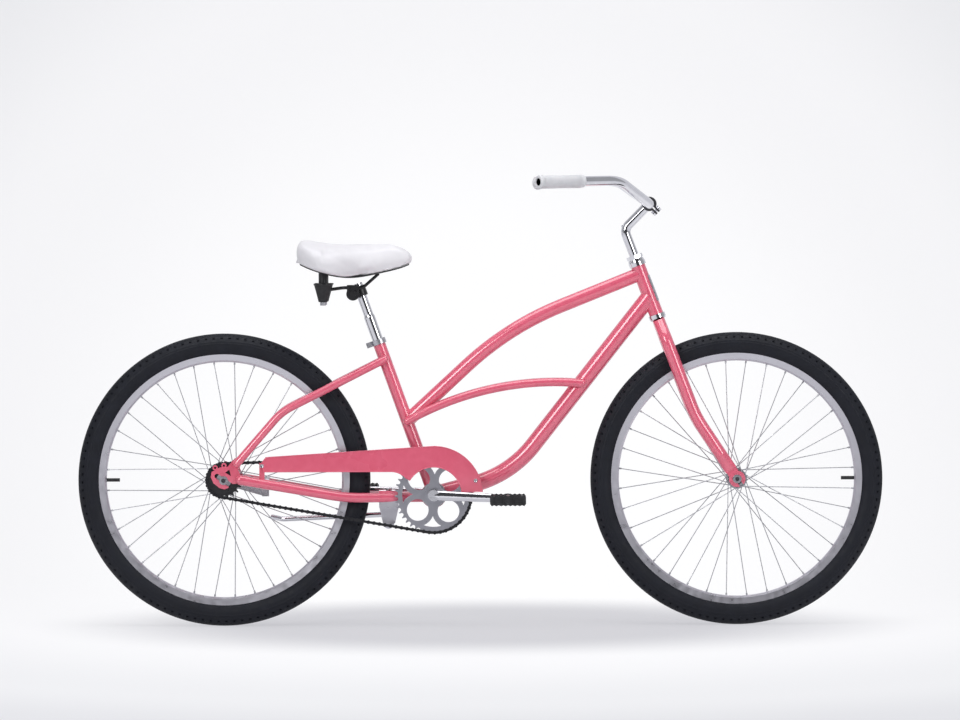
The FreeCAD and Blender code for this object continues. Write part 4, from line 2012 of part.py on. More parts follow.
os.makedirs("parts", exist_ok=True)
for piece in nodes:
    piece.Shape.exportStep(f"parts/{piece.Label}.step")
    print(piece.Label, len(piece.Shape.Solids), "solids", round(piece.Shape.Volume / 1000, 1), "cm3")
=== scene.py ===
import math

import bmesh
import bpy
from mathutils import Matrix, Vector


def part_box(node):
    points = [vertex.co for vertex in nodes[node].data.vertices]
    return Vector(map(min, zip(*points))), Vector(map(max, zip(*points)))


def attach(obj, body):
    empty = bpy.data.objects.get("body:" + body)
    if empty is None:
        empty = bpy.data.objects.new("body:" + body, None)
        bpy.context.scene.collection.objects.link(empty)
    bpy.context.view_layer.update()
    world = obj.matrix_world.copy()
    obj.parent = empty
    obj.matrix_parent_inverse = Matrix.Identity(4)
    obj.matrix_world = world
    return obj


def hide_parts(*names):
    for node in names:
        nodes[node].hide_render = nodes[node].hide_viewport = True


# The looks of a beach cruiser bicycle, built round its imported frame. Lengths are in metres.

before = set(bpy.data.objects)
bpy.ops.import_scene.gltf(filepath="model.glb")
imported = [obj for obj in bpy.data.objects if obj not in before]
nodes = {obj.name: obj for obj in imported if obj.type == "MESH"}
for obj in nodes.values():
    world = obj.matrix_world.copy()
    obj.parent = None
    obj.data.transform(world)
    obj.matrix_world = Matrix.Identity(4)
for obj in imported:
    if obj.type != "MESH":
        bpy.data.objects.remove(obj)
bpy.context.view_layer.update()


# The bench: choosing, opening and closing pieces

WELD = 0.00002  # points nearer than this become one
FLAT = math.radians(0.5)  # faces nearer to one plane than this become one
CREASE = 35  # degrees: edges sharper than this stay sharp


def clear_bench():
    """Puts every piece down and leaves edit mode."""
    if bpy.context.object and bpy.context.object.mode != "OBJECT":
        bpy.ops.object.mode_set(mode="OBJECT")
    bpy.ops.object.select_all(action="DESELECT")


def take_up(piece):
    """Makes a piece the only chosen one."""
    clear_bench()
    piece.select_set(True)
    bpy.context.view_layer.objects.active = piece


def open_piece(piece):
    """Opens a piece in edit mode with all of it selected."""
    take_up(piece)
    bpy.ops.object.mode_set(mode="EDIT")
    bpy.ops.mesh.select_all(action="SELECT")


def started(name):
    """Names the primitive just added and puts its place into its mesh."""
    piece = bpy.context.object
    piece.name = name
    piece.data.name = name
    bpy.ops.object.transform_apply(location=True, rotation=True, scale=True)
    open_piece(piece)
    return piece


def pick_faces(piece, wanted):
    """Selects the faces of an open piece whose centre passes the test."""
    bpy.ops.mesh.select_mode(type="FACE")
    bpy.ops.mesh.select_all(action="DESELECT")
    shape = bmesh.from_edit_mesh(piece.data)
    for face in shape.faces:
        face.select_set(wanted(face.calc_center_median()))
    bmesh.update_edit_mesh(piece.data)


def pick_edges(piece, wanted):
    """Selects the edges of an open piece with both ends passing the test."""
    bpy.ops.mesh.select_mode(type="EDGE")
    bpy.ops.mesh.select_all(action="DESELECT")
    shape = bmesh.from_edit_mesh(piece.data)
    for edge in shape.edges:
        edge.select_set(all(wanted(end.co) for end in edge.verts))
    bmesh.update_edit_mesh(piece.data)


def pick_points(piece, wanted):
    """Selects the points of an open piece that pass the test."""
    bpy.ops.mesh.select_mode(type="VERT")
    bpy.ops.mesh.select_all(action="DESELECT")
    shape = bmesh.from_edit_mesh(piece.data)
    for point in shape.verts:
        point.select_set(wanted(point.co))
    shape.select_flush(True)
    bmesh.update_edit_mesh(piece.data)


def close_piece(piece, crease=CREASE):
    """Merges doubles, turns the faces outwards and smooths all but the sharp edges."""
    bpy.ops.mesh.select_mode(type="VERT")
    bpy.ops.mesh.select_all(action="SELECT")
    bpy.ops.mesh.remove_doubles(threshold=WELD)
    bpy.ops.mesh.normals_make_consistent(inside=False)
    bpy.ops.object.mode_set(mode="OBJECT")
    bpy.ops.object.shade_smooth_by_angle(angle=math.radians(crease))


def dress(piece, finish, body):
    """Gives a piece its finish and the body it moves with."""
    piece.data.materials.clear()
    piece.data.materials.append(finish)
    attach(piece, body)


def node_copy(name, node):
    """A new piece with a node's shape, its triangles merged, open with all of it selected."""
    clear_bench()
    piece = bpy.data.objects.new(name, nodes[node].data.copy())
    bpy.context.scene.collection.objects.link(piece)
    open_piece(piece)
    bpy.ops.mesh.remove_doubles(threshold=WELD)
    return piece


def split_off(piece, name, wanted):
    """Parts the faces that pass the test from an open piece, as a piece of their own."""
    pick_faces(piece, wanted)
    bpy.ops.mesh.separate(type="SELECTED")
    bpy.ops.object.mode_set(mode="OBJECT")
    part = next(other for other in bpy.context.selected_objects if other != piece)
    part.name = name
    part.data.name = name
    open_piece(piece)
    return part


def soft_edged(piece, width):
    """Rounds a piece's sharp edges, so that they catch the light."""
    open_piece(piece)
    bpy.ops.mesh.fill_holes(sides=0)
    bpy.ops.mesh.dissolve_limited(angle_limit=FLAT)
    bpy.ops.object.mode_set(mode="OBJECT")
    rounding = piece.modifiers.new("rounded_edges", "BEVEL")
    rounding.width = width
    rounding.segments = 2
    rounding.limit_method = "ANGLE"
    rounding.angle_limit = math.radians(CREASE)
    bpy.ops.object.modifier_apply(modifier=rounding.name)
    open_piece(piece)
    close_piece(piece)
    flatter = piece.modifiers.new("flat_faces", "WEIGHTED_NORMAL")
    flatter.keep_sharp = True
    bpy.ops.object.modifier_apply(modifier=flatter.name)


def turned_piece(name, foot, along, rings, sides=48, fill="NGON"):
    """A round piece drawn out ring by ring, left open.

    Each ring is its distance along the axis and its radius.
    """
    clear_bench()
    start, radius = rings[0]
    facing = along.to_track_quat("Z", "Y").to_euler()
    bpy.ops.mesh.primitive_circle_add(
        vertices=sides, radius=radius, fill_type=fill,
        location=foot + along * start, rotation=facing,
    )
    piece = started(name)
    for (start, radius), (end, next_radius) in zip(rings, rings[1:]):
        bpy.ops.mesh.extrude_region_move(TRANSFORM_OT_translate={"value": along * (end - start)})
        grow = next_radius / radius
        bpy.ops.transform.resize(value=(grow, grow, grow), center_override=foot + along * end)
    return piece


# Finishes: node materials on object coordinates

DRIFT = 0.3, 0.7  # the stretch of a noise over which colour and roughness change


def blank_finish(name, metal, rough):
    """A new material, its node tree and its shader."""
    material = bpy.data.materials.new(name)
    material.use_nodes = True
    shader = material.node_tree.nodes["Principled BSDF"]
    shader.inputs["Metallic"].default_value = metal
    shader.inputs["Roughness"].default_value = rough
    return material, material.node_tree, shader


def placed(tree, centre=(0, 0, 0), stretch=(1, 1, 1)):
    """Object coordinates measured from a centre and stretched."""
    place = tree.nodes.new("ShaderNodeTexCoord")
    mapping = tree.nodes.new("ShaderNodeMapping")
    mapping.vector_type = "TEXTURE"
    mapping.inputs["Location"].default_value = centre
    mapping.inputs["Scale"].default_value = stretch
    tree.links.new(place.outputs["Object"], mapping.inputs["Vector"])
    return mapping.outputs["Vector"]


def grain(tree, place, scale, detail=3):
    """Even noise in all directions."""
    noise = tree.nodes.new("ShaderNodeTexNoise")
    noise.inputs["Scale"].default_value = scale
    noise.inputs["Detail"].default_value = detail
    tree.links.new(place, noise.inputs["Vector"])
    return noise.outputs["Fac"]


def shaded(tree, shader, value, dark, light):
    """Colour that drifts between two near shades."""
    ramp = tree.nodes.new("ShaderNodeValToRGB")
    for point, position, colour in zip(ramp.color_ramp.elements, DRIFT, (dark, light)):
        point.position = position
        point.color = (*colour, 1)
    tree.links.new(value, ramp.inputs["Fac"])
    tree.links.new(ramp.outputs["Color"], shader.inputs["Base Color"])


def polished(tree, shader, value, least, most):
    """Roughness that drifts between two values."""
    spread = tree.nodes.new("ShaderNodeMapRange")
    spread.inputs["From Min"].default_value, spread.inputs["From Max"].default_value = DRIFT
    spread.inputs["To Min"].default_value = least
    spread.inputs["To Max"].default_value = most
    tree.links.new(value, spread.inputs["Value"])
    tree.links.new(spread.outputs["Result"], shader.inputs["Roughness"])


def raised(tree, shader, value, height, strength):
    """Fine relief of a height in metres."""
    bump = tree.nodes.new("ShaderNodeBump")
    bump.inputs["Strength"].default_value = strength
    bump.inputs["Distance"].default_value = height
    tree.links.new(value, bump.inputs["Height"])
    tree.links.new(bump.outputs["Normal"], shader.inputs["Normal"])


def ring_distance(tree, centre):
    """Distance from a wheel's axle, for marks that run round it."""
    place = placed(tree, centre)
    flat = tree.nodes.new("ShaderNodeVectorMath")
    flat.operation = "MULTIPLY"
    flat.inputs[1].default_value = (1, 0, 1)
    tree.links.new(place, flat.inputs[0])
    length = tree.nodes.new("ShaderNodeVectorMath")
    length.operation = "LENGTH"
    tree.links.new(flat.outputs["Vector"], length.inputs[0])
    return length.outputs["Value"]


def fine_rings(tree, distance, scale):
    """Fine marks turned round the axle."""
    noise = tree.nodes.new("ShaderNodeTexNoise")
    noise.noise_dimensions = "1D"
    noise.inputs["Scale"].default_value = scale
    noise.inputs["Detail"].default_value = 3
    tree.links.new(distance, noise.inputs["W"])
    return noise.outputs["Fac"]


def pink_paint():
    """Gloss pearl pink under a clear coat, with a faint orange peel."""
    material, tree, shader = blank_finish("pink_paint", metal=0.0, rough=0.3)
    shader.inputs["Coat Weight"].default_value = 1.0
    shader.inputs["Coat Roughness"].default_value = 0.04
    shader.inputs["Coat IOR"].default_value = 1.7
    place = placed(tree)
    shaded(tree, shader, grain(tree, place, 60, 5), (0.74, 0.105, 0.181), (0.785, 0.127, 0.210))
    polished(tree, shader, grain(tree, place, 14), 0.26, 0.36)
    raised(tree, shader, grain(tree, place, 700, 2), 0.0002, 0.08)
    return material


def chrome():
    """Bright plate with faint handling smears."""
    material, tree, shader = blank_finish("chrome", metal=1.0, rough=0.06)
    place = placed(tree)
    shaded(tree, shader, grain(tree, place, 25), (0.72, 0.72, 0.76), (0.80, 0.80, 0.84))
    polished(tree, shader, grain(tree, place, 45, 5), 0.04, 0.11)
    return material


def plated_steel():
    """Zinc plate with a fine dull mottle."""
    material, tree, shader = blank_finish("plated_steel", metal=1.0, rough=0.3)
    place = placed(tree)
    shaded(tree, shader, grain(tree, place, 220, 5), (0.46, 0.46, 0.50), (0.60, 0.60, 0.64))
    polished(tree, shader, grain(tree, place, 130, 5), 0.22, 0.38)
    raised(tree, shader, grain(tree, place, 900), 0.0001, 0.12)
    return material


def oiled_steel(name, dark, light):
    """Blued steel under a film of oil."""
    material, tree, shader = blank_finish(name, metal=1.0, rough=0.3)
    place = placed(tree)
    shaded(tree, shader, grain(tree, place, 300, 4), dark, light)
    polished(tree, shader, grain(tree, place, 200, 4), 0.24, 0.42)
    raised(tree, shader, grain(tree, place, 1100), 0.0001, 0.12)
    return material


def satin_alloy(name, centre, dark, light):
    """Satin alloy turned round an axle."""
    material, tree, shader = blank_finish(name, metal=1.0, rough=0.3)
    marks = fine_rings(tree, ring_distance(tree, centre), 2400)
    shaded(tree, shader, marks, dark, light)
    polished(tree, shader, grain(tree, placed(tree), 60, 4), 0.26, 0.4)
    raised(tree, shader, marks, 0.00005, 0.25)
    return material


def satin_black(name, rough, light):
    """Black with a fine moulded or sprayed tooth."""
    material, tree, shader = blank_finish(name, metal=0.0, rough=rough)
    place = placed(tree)
    shaded(tree, shader, grain(tree, place, 90, 5), (0.008, 0.008, 0.010), light)
    polished(tree, shader, grain(tree, place, 160, 4), rough - 0.08, rough + 0.1)
    raised(tree, shader, grain(tree, place, 1500, 2), 0.0002, 0.2)
    return material


def tyre_rubber(name, centre):
    """Blue-black rubber with mould lines round the sidewall and a dusting of bloom."""
    material, tree, shader = blank_finish(name, metal=0.0, rough=0.55)
    shader.inputs["Specular IOR Level"].default_value = 0.3
    place = placed(tree)
    bloom = grain(tree, place, 35, 6)
    shaded(tree, shader, bloom, (0.0038, 0.0048, 0.0095), (0.0075, 0.0090, 0.016))
    polished(tree, shader, grain(tree, place, 70, 4), 0.5, 0.7)
    lines = fine_rings(tree, ring_distance(tree, centre), 900)
    raised(tree, shader, lines, 0.0002, 0.35)
    return material


def white_rubber():
    """Soft white grip rubber with a slight tooth."""
    material, tree, shader = blank_finish("white_rubber", metal=0.0, rough=0.5)
    shader.inputs["Subsurface Weight"].default_value = 0.08
    shader.inputs["Subsurface Radius"].default_value = (0.004, 0.003, 0.003)
    place = placed(tree)
    shaded(tree, shader, grain(tree, place, 50, 4), (0.63, 0.63, 0.66), (0.69, 0.69, 0.71))
    polished(tree, shader, grain(tree, place, 120, 4), 0.42, 0.58)
    raised(tree, shader, grain(tree, place, 1300, 2), 0.0002, 0.15)
    return material


def white_vinyl():
    """Smooth white vinyl with a pebbled grain."""
    material, tree, shader = blank_finish("white_vinyl", metal=0.0, rough=0.42)
    place = placed(tree)
    shaded(tree, shader, grain(tree, place, 18, 4), (0.74, 0.73, 0.765), (0.79, 0.78, 0.81))
    polished(tree, shader, grain(tree, place, 40, 4), 0.36, 0.5)
    pebbles = tree.nodes.new("ShaderNodeTexVoronoi")
    pebbles.inputs["Scale"].default_value = 620
    tree.links.new(place, pebbles.inputs["Vector"])
    raised(tree, shader, pebbles.outputs["Distance"], 0.0003, 0.12)
    return material


front_low, front_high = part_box("front_tyre")
rear_low, rear_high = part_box("rear_tyre")
ring_low, ring_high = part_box("chainring")
front_axle = (front_low + front_high) / 2
rear_axle = (rear_low + rear_high) / 2
crank_axis = (ring_low + ring_high) / 2

# The darker and the lighter shade of finishes that two pieces share
RIM_SHADES = (0.62, 0.61, 0.67), (0.72, 0.71, 0.77)
SPOKE_SHADES = (0.40, 0.40, 0.43), (0.52, 0.52, 0.55)
AXLE_SHADES = (0.07, 0.07, 0.08), (0.12, 0.12, 0.13)

# Finishes by the record's slot, and by node where a node has one of its own
finishes = {
    "pink_paint": pink_paint(),
    "chrome": chrome(),
    "steel": plated_steel(),
    "alloy": satin_alloy("satin_alloy", front_axle, *RIM_SHADES),
    "black_metal": satin_black("satin_black_paint", rough=0.34, light=(0.018, 0.018, 0.021)),
    "black_plastic": satin_black("moulded_black", rough=0.38, light=(0.026, 0.026, 0.030)),
    "black_rubber": satin_black("black_rubber", rough=0.6, light=(0.019, 0.019, 0.021)),
    "tyre": tyre_rubber("front_tyre_rubber", front_axle),
    "white_grip": white_rubber(),
    "white_vinyl": white_vinyl(),
}
own_finishes = {
    "rear_rim": satin_alloy("rear_rim_alloy", rear_axle, *RIM_SHADES),
    "chainring": satin_alloy(
        "chainring_alloy", crank_axis, (0.40, 0.40, 0.45), (0.48, 0.48, 0.53)
    ),
    "rear_tyre": tyre_rubber("rear_tyre_rubber", rear_axle),
    "chain": oiled_steel("oiled_chain", (0.030, 0.030, 0.034), (0.065, 0.065, 0.070)),
    "front_spokes": oiled_steel("front_spoke_steel", *SPOKE_SHADES),
    "rear_spokes": oiled_steel("rear_spoke_steel", *SPOKE_SHADES),
    "front_axle": oiled_steel("front_axle_steel", *AXLE_SHADES),
    "rear_axle": oiled_steel("rear_axle_steel", *AXLE_SHADES),
}

for node_name, node in nodes.items():
    for place in node.material_slots:
        place.material = own_finishes.get(node_name) or finishes[place.material.name]


# Tyres: a carcass spun round the axle, then cut with blocks and notches and raised in ribs.
# A lean is an angle from the crown round the tyre's section, in degrees.

NOTCHES = 112
SECTION_POINTS = 64
BEAD_SQUEEZE = 0.8
BLOCK_LEAN, BLOCK_MARGIN, BLOCK_DEPTH = 44, 0.0008, 0.0013
NOTCH_FROM, NOTCH_TO, NOTCH_MARGIN, NOTCH_DEPTH = 47, 63, 0.0018, 0.0024
RIB_LEANS, RIB_HALF, RIB_MARGIN, RIB_HEIGHT = (69, 80), 3, 0.0009, 0.0006


def tyre(name, node, body, finish):
    """A balloon tyre as large as its node, narrowed inside its rim."""
    low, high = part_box(node)
    axle = (low + high) / 2
    outer = (high.x - low.x) / 2
    half = (high.y - low.y) / 2
    ring = outer - half
    rim_low, rim_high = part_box(node.replace("tyre", "rim"))
    rim_edge = (rim_high.x - rim_low.x) / 2
    clear_bench()
    bpy.ops.mesh.primitive_circle_add(
        vertices=SECTION_POINTS, radius=half,
        location=axle + Vector((0, 0, ring)), rotation=(0, math.pi / 2, 0),
    )
    piece = started(name)
    pick_points(piece, lambda spot: spot.z - axle.z < rim_edge)
    bpy.ops.transform.resize(value=(1, BEAD_SQUEEZE, 1), center_override=axle)
    bpy.ops.mesh.select_all(action="SELECT")
    bpy.ops.mesh.spin(steps=2 * NOTCHES, angle=2 * math.pi, center=axle, axis=(0, 1, 0))
    bpy.ops.mesh.select_all(action="SELECT")
    bpy.ops.mesh.remove_doubles(threshold=WELD)
    bpy.ops.mesh.normals_make_consistent(inside=False)

    def off_crown(spot):
        """A spot's angle from the crown, negative on the right side."""
        reach = math.hypot(spot.x - axle.x, spot.z - axle.z)
        return math.degrees(math.atan2(spot.y - axle.y, reach - ring))

    def lean(spot):
        """The same angle on either side."""
        return abs(off_crown(spot))

    def step(spot):
        """The number of a spot's step round the wheel."""
        turn = math.atan2(spot.z - axle.z, spot.x - axle.x) % (2 * math.pi)
        return int(turn / math.pi * NOTCHES)

    def band(spot):
        """The number of a spot's band across the tread."""
        return int(off_crown(spot) // (360 / SECTION_POINTS))

    pick_faces(
        piece, lambda spot: lean(spot) < BLOCK_LEAN and (step(spot) + band(spot)) % 2 == 0
    )
    bpy.ops.mesh.inset(thickness=BLOCK_MARGIN, use_individual=True)
    bpy.ops.mesh.extrude_faces_move(TRANSFORM_OT_shrink_fatten={"value": -BLOCK_DEPTH})
    pick_faces(piece, lambda spot: NOTCH_FROM < lean(spot) < NOTCH_TO and step(spot) % 2 == 0)
    bpy.ops.mesh.inset(thickness=NOTCH_MARGIN)
    bpy.ops.mesh.extrude_region_shrink_fatten(TRANSFORM_OT_shrink_fatten={"value": -NOTCH_DEPTH})
    for rib in RIB_LEANS:
        pick_faces(piece, lambda spot: rib - RIB_HALF < lean(spot) < rib + RIB_HALF)
        bpy.ops.mesh.inset(thickness=RIB_MARGIN)
        bpy.ops.transform.shrink_fatten(value=RIB_HEIGHT)
    close_piece(piece)
    dress(piece, finish, body)
    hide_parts(node)


tyre("front_tyre_tread", "front_tyre", "front_wheel", finishes["tyre"])
tyre("rear_tyre_tread", "rear_tyre", "rear_wheel", own_finishes["rear_tyre"])


# Nodes of more than one finish, taken apart, and nodes whose edges are eased

SCREW_FOOT, SCREW_TOP = -0.0561, -0.0586  # where the guard screws' heads begin and end across
RECESS_MARGIN, RECESS_DEPTH = 0.0026, 0.0013
STAND_BOLT_FOOT, STAND_PLATE_FOOT = 0.3067, 0.2930  # heights
SPRING_BOLT_TOP, SPRING_CARRIER_FOOT = 0.73545, 0.77345  # heights
GUARD_SHOULDER = Vector((-0.4035, 0, 0.394))  # the solid's upper rear corner, from the side
SHOULDER_NEAR = 0.005
SHOULDER_DRAW = (-0.082, 0, -0.010)
FACE_NEAR = 0.0001
HEM_RADIUS = 0.0011
PANEL_AHEAD = 0.0225
PANEL_SIZE = (0.021, 0.006, 0.0135)
CAP_RINGS = [(-0.001, 0.0092), (0.0008, 0.0092), (0.0014, 0.0086), (0.0014, 0.0066),
             (0.0008, 0.006)]


def eased(piece, node, body, slot, width):
    """Rounds a piece's edges, dresses it and sets it in its node's place."""
    soft_edged(piece, width)
    dress(piece, own_finishes.get(node) or finishes[slot], body)
    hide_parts(node)


def whole(name, node, body, slot, width):
    """A node as one piece with eased edges."""
    eased(node_copy(name, node), node, body, slot, width)


def guard_fittings():
    """Pink strap and bracket, and plated screws with a driver's recess."""
    straps = node_copy("guard_straps", "chain_guard_fittings")
    screws = split_off(straps, "guard_screws", lambda spot: spot.y < SCREW_FOOT)
    open_piece(screws)
    bpy.ops.mesh.dissolve_limited(angle_limit=FLAT)
    pick_faces(screws, lambda spot: spot.y < SCREW_TOP)
    bpy.ops.mesh.inset(thickness=RECESS_MARGIN)
    bpy.ops.transform.translate(value=(0, RECESS_DEPTH, 0))
    eased(screws, "chain_guard_fittings", "frame", "steel", width=0.0004)
    eased(straps, "chain_guard_fittings", "frame", "pink_paint", width=0.0004)


def stand_bracket():
    """Alloy clamp below a pink plate and a plated bolt."""
    clamp = node_copy("stand_clamp", "kickstand_bracket")
    bolt = split_off(clamp, "stand_bolt", lambda spot: spot.z > STAND_BOLT_FOOT)
    plate = split_off(clamp, "stand_top_plate", lambda spot: spot.z > STAND_PLATE_FOOT)
    eased(bolt, "kickstand_bracket", "frame", "steel", width=0.0006)
    eased(plate, "kickstand_bracket", "frame", "pink_paint", width=0.0008)
    eased(clamp, "kickstand_bracket", "frame", "alloy", width=0.0008)


def spring_set():
    """Rubber cones between black carriers and plated bolts."""
    rubbers = node_copy("spring_rubbers", "saddle_springs")
    bolts = split_off(rubbers, "spring_bolts", lambda spot: spot.z < SPRING_BOLT_TOP)
    carriers = split_off(rubbers, "spring_carriers", lambda spot: spot.z > SPRING_CARRIER_FOOT)
    eased(bolts, "saddle_springs", "saddle", "steel", width=0.0008)
    eased(carriers, "saddle_springs", "saddle", "black_metal", width=0.0006)
    eased(rubbers, "saddle_springs", "saddle", "black_rubber", width=0.0012)


def drawn_guard(name):
    """The guard with its upper rear corner drawn back, close above its strap."""
    sheet = node_copy(name, "chain_guard")
    bpy.ops.mesh.dissolve_limited(angle_limit=FLAT)

    def shoulder(spot):
        off = spot - GUARD_SHOULDER
        return abs(off.x) < SHOULDER_NEAR and abs(off.z) < SHOULDER_NEAR

    pick_points(sheet, shoulder)
    bpy.ops.transform.translate(value=SHOULDER_DRAW)
    return sheet


def guard_hem():
    """The rolled hem along the guard's outline, which catches the light."""
    sheet = drawn_guard("guard_outline")
    face = min(point.co.y for point in bmesh.from_edit_mesh(sheet.data).verts)
    pick_faces(sheet, lambda spot: spot.y < face + FACE_NEAR)
    bpy.ops.mesh.region_to_loop()
    bpy.ops.mesh.duplicate()
    bpy.ops.mesh.separate(type="SELECTED")
    bpy.ops.object.mode_set(mode="OBJECT")
    hem = next(other for other in bpy.context.selected_objects if other != sheet)
    take_up(sheet)
    bpy.ops.object.delete()
    take_up(hem)
    bpy.ops.object.convert(target="CURVE")
    hem = bpy.context.object
    hem.data.bevel_depth = HEM_RADIUS
    hem.data.bevel_resolution = 2
    bpy.ops.object.convert(target="MESH")
    hem = bpy.context.object
    hem.name = "guard_hem"
    hem.data.name = "guard_hem"
    open_piece(hem)
    close_piece(hem, crease=60)
    dress(hem, finishes["pink_paint"], "frame")
    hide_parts("chain_guard")


def pedal(name, node, side):
    """A pedal with two sunk panels in its outer plate and a round cap over its axle."""
    low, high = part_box(node)
    middle = (low + high) / 2
    outer = high.y if side > 0 else low.y
    piece = node_copy(name, node)
    for ahead in (-PANEL_AHEAD, PANEL_AHEAD):
        clear_bench()
        bpy.ops.mesh.primitive_cube_add(size=1, location=(middle.x + ahead, outer, middle.z))
        bpy.context.object.scale = PANEL_SIZE
        panel = started("pedal_panel")
        take_up(piece)
        sinking = piece.modifiers.new("sunk_panel", "BOOLEAN")
        sinking.operation = "DIFFERENCE"
        sinking.object = panel
        bpy.ops.object.modifier_apply(modifier=sinking.name)
        take_up(panel)
        bpy.ops.object.delete()
    eased(piece, node, node, "black_plastic", width=0.0006)
    foot = Vector((middle.x, outer, middle.z))
    cap = turned_piece(name + "_cap", foot, Vector((0, side, 0)), CAP_RINGS)
    close_piece(cap)
    dress(cap, finishes["black_plastic"], node)
    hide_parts(node)


guard_fittings()
stand_bracket()
spring_set()
guard_hem()
pedal("right_pedal_cage", "pedal_right", -1)
pedal("left_pedal_cage", "pedal_left", 1)
eased(drawn_guard("guard_sheet"), "chain_guard", "frame", "pink_paint", width=0.0005)
whole("axle_plates", "rear_dropouts", "frame", "pink_paint", width=0.0008)
whole("seat_collar", "seat_clamp", "frame", "steel", width=0.0006)
whole("one_piece_crank", "crank", "crank", "chrome", width=0.0015)
whole("toothed_ring", "chainring", "crank", "steel", width=0.0004)


# The saddle's cushion: the solid's form drawn in, blown out as stretched vinyl, then pressed
# along its wings

PADDING_DRAW = 0.003
PADDING_REACH = 0.006
VINYL_GRID = 0.005
COVER_PRESSURE = 4
COVER_STEPS = 20
HELD_GROUP = "held_underside"
HELD_FACING = -0.6  # points that look further down than this are held
HELD_RETURN = PADDING_DRAW * 0.9  # how far the held underside is set back down
WING_HIGH = Vector((-0.352, 0, 0.849))
WING_LOW = Vector((-0.262, 0, 0.795))
WING_BEFORE, WING_PAST = 0.004, 0.03  # how far the crease runs on at its ends
WING_INNER = 0.045  # the crease stops this far from the saddle's middle
PRESS_REACHES = (0.016, 0.012, 0.008, 0.004)
PRESS_BELOW = 1.6  # the crease reaches this many times as far below its line as above
PRESS_DEPTH = 0.0008


def off_wing(spot):
    """How far a spot lies above the crease line, and whether it lies along it, from the side."""
    run = WING_LOW - WING_HIGH
    along = min(1, max(0, (spot.x - WING_HIGH.x) / run.x))
    above = spot.z - (WING_HIGH.z + run.z * along)
    return above, WING_HIGH.x - WING_BEFORE < spot.x < WING_LOW.x + WING_PAST


def blow_out(cushion):
    """Pressure inside the cover, with its underside held to the base and no point let far."""
    held = cushion.vertex_groups.new(name=HELD_GROUP)
    points = cushion.data.vertices
    held.add([point.index for point in points if point.normal.z < HELD_FACING], 1.0, "REPLACE")
    start = [point.co.copy() for point in points]
    cover = cushion.modifiers.new("stretched_cover", "CLOTH")
    cover.settings.use_pressure = True
    cover.settings.uniform_pressure_force = COVER_PRESSURE
    cover.settings.vertex_group_mass = HELD_GROUP
    cover.settings.effector_weights.gravity = 0
    for step in range(1, COVER_STEPS + 1):
        bpy.context.scene.frame_set(step)
    bpy.ops.object.modifier_apply(modifier=cover.name)
    bpy.context.scene.frame_set(1)
    for point, before in zip(cushion.data.vertices, start):
        moved = point.co - before
        if moved.length > PADDING_REACH:
            point.co = before + moved.normalized() * PADDING_REACH
    open_piece(cushion)
    bpy.ops.mesh.select_all(action="DESELECT")
    bpy.ops.object.vertex_group_set_active(group=HELD_GROUP)
    bpy.ops.object.vertex_group_select()
    bpy.ops.transform.shrink_fatten(value=HELD_RETURN)
    bpy.ops.object.mode_set(mode="OBJECT")


def saddle_padding():
    cushion = node_copy("padded_saddle", "saddle_cushion")
    bpy.ops.transform.shrink_fatten(value=-PADDING_DRAW)
    bpy.ops.object.mode_set(mode="OBJECT")
    cushion.data.remesh_voxel_size = VINYL_GRID
    bpy.ops.object.voxel_remesh()
    blow_out(cushion)
    finer = cushion.modifiers.new("finer_cover", "SUBSURF")
    finer.levels = 1
    finer.render_levels = 1
    bpy.ops.object.modifier_apply(modifier=finer.name)
    open_piece(cushion)
    for reach in PRESS_REACHES:
        def pressed(spot):
            above, beside = off_wing(spot)
            return beside and abs(spot.y) > WING_INNER and -PRESS_BELOW * reach < above < reach
        pick_points(cushion, pressed)
        bpy.ops.transform.shrink_fatten(value=-PRESS_DEPTH)
    bpy.ops.mesh.select_all(action="SELECT")
    bpy.ops.mesh.vertices_smooth(factor=0.5, repeat=6)
    close_piece(cushion, crease=180)
    dress(cushion, finishes["white_vinyl"], "saddle")
    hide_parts("saddle_cushion")


saddle_padding()


# Grips: a soft sleeve with a collar groove, a knobbed flange and an open end

BAR_END = Vector((0.132516, -0.31, 1.005183))
GRIP_LINE = Vector((-0.792537, -0.609644, -0.014806)).normalized()
GRIP_RINGS = [(-0.125, 0.01115), (-0.125, 0.0136), (-0.1243, 0.01425), (-0.1165, 0.01425),
              (-0.1155, 0.0136), (-0.1145, 0.0136), (-0.1135, 0.01415), (-0.062, 0.0137),
              (-0.012, 0.01405), (-0.0085, 0.0142), (-0.0075, 0.0149), (-0.0068, 0.0153),
              (-0.0005, 0.0153), (0.0012, 0.0148), (0.0023, 0.0136), (0.0025, 0.0125),
              (0.0022, 0.0088), (0.0014, 0.0084), (0.0001, 0.0084), (0.0001, 0.01115),
              (-0.125, 0.01115)]
KNOBS = 16
KNOB_FROM, KNOB_TO, KNOB_MIDDLE = -0.0066, -0.0006, -0.0035  # along the grip
KNOB_MARGIN, KNOB_HEIGHT, KNOB_TAPER = 0.0003, 0.0006, 0.998


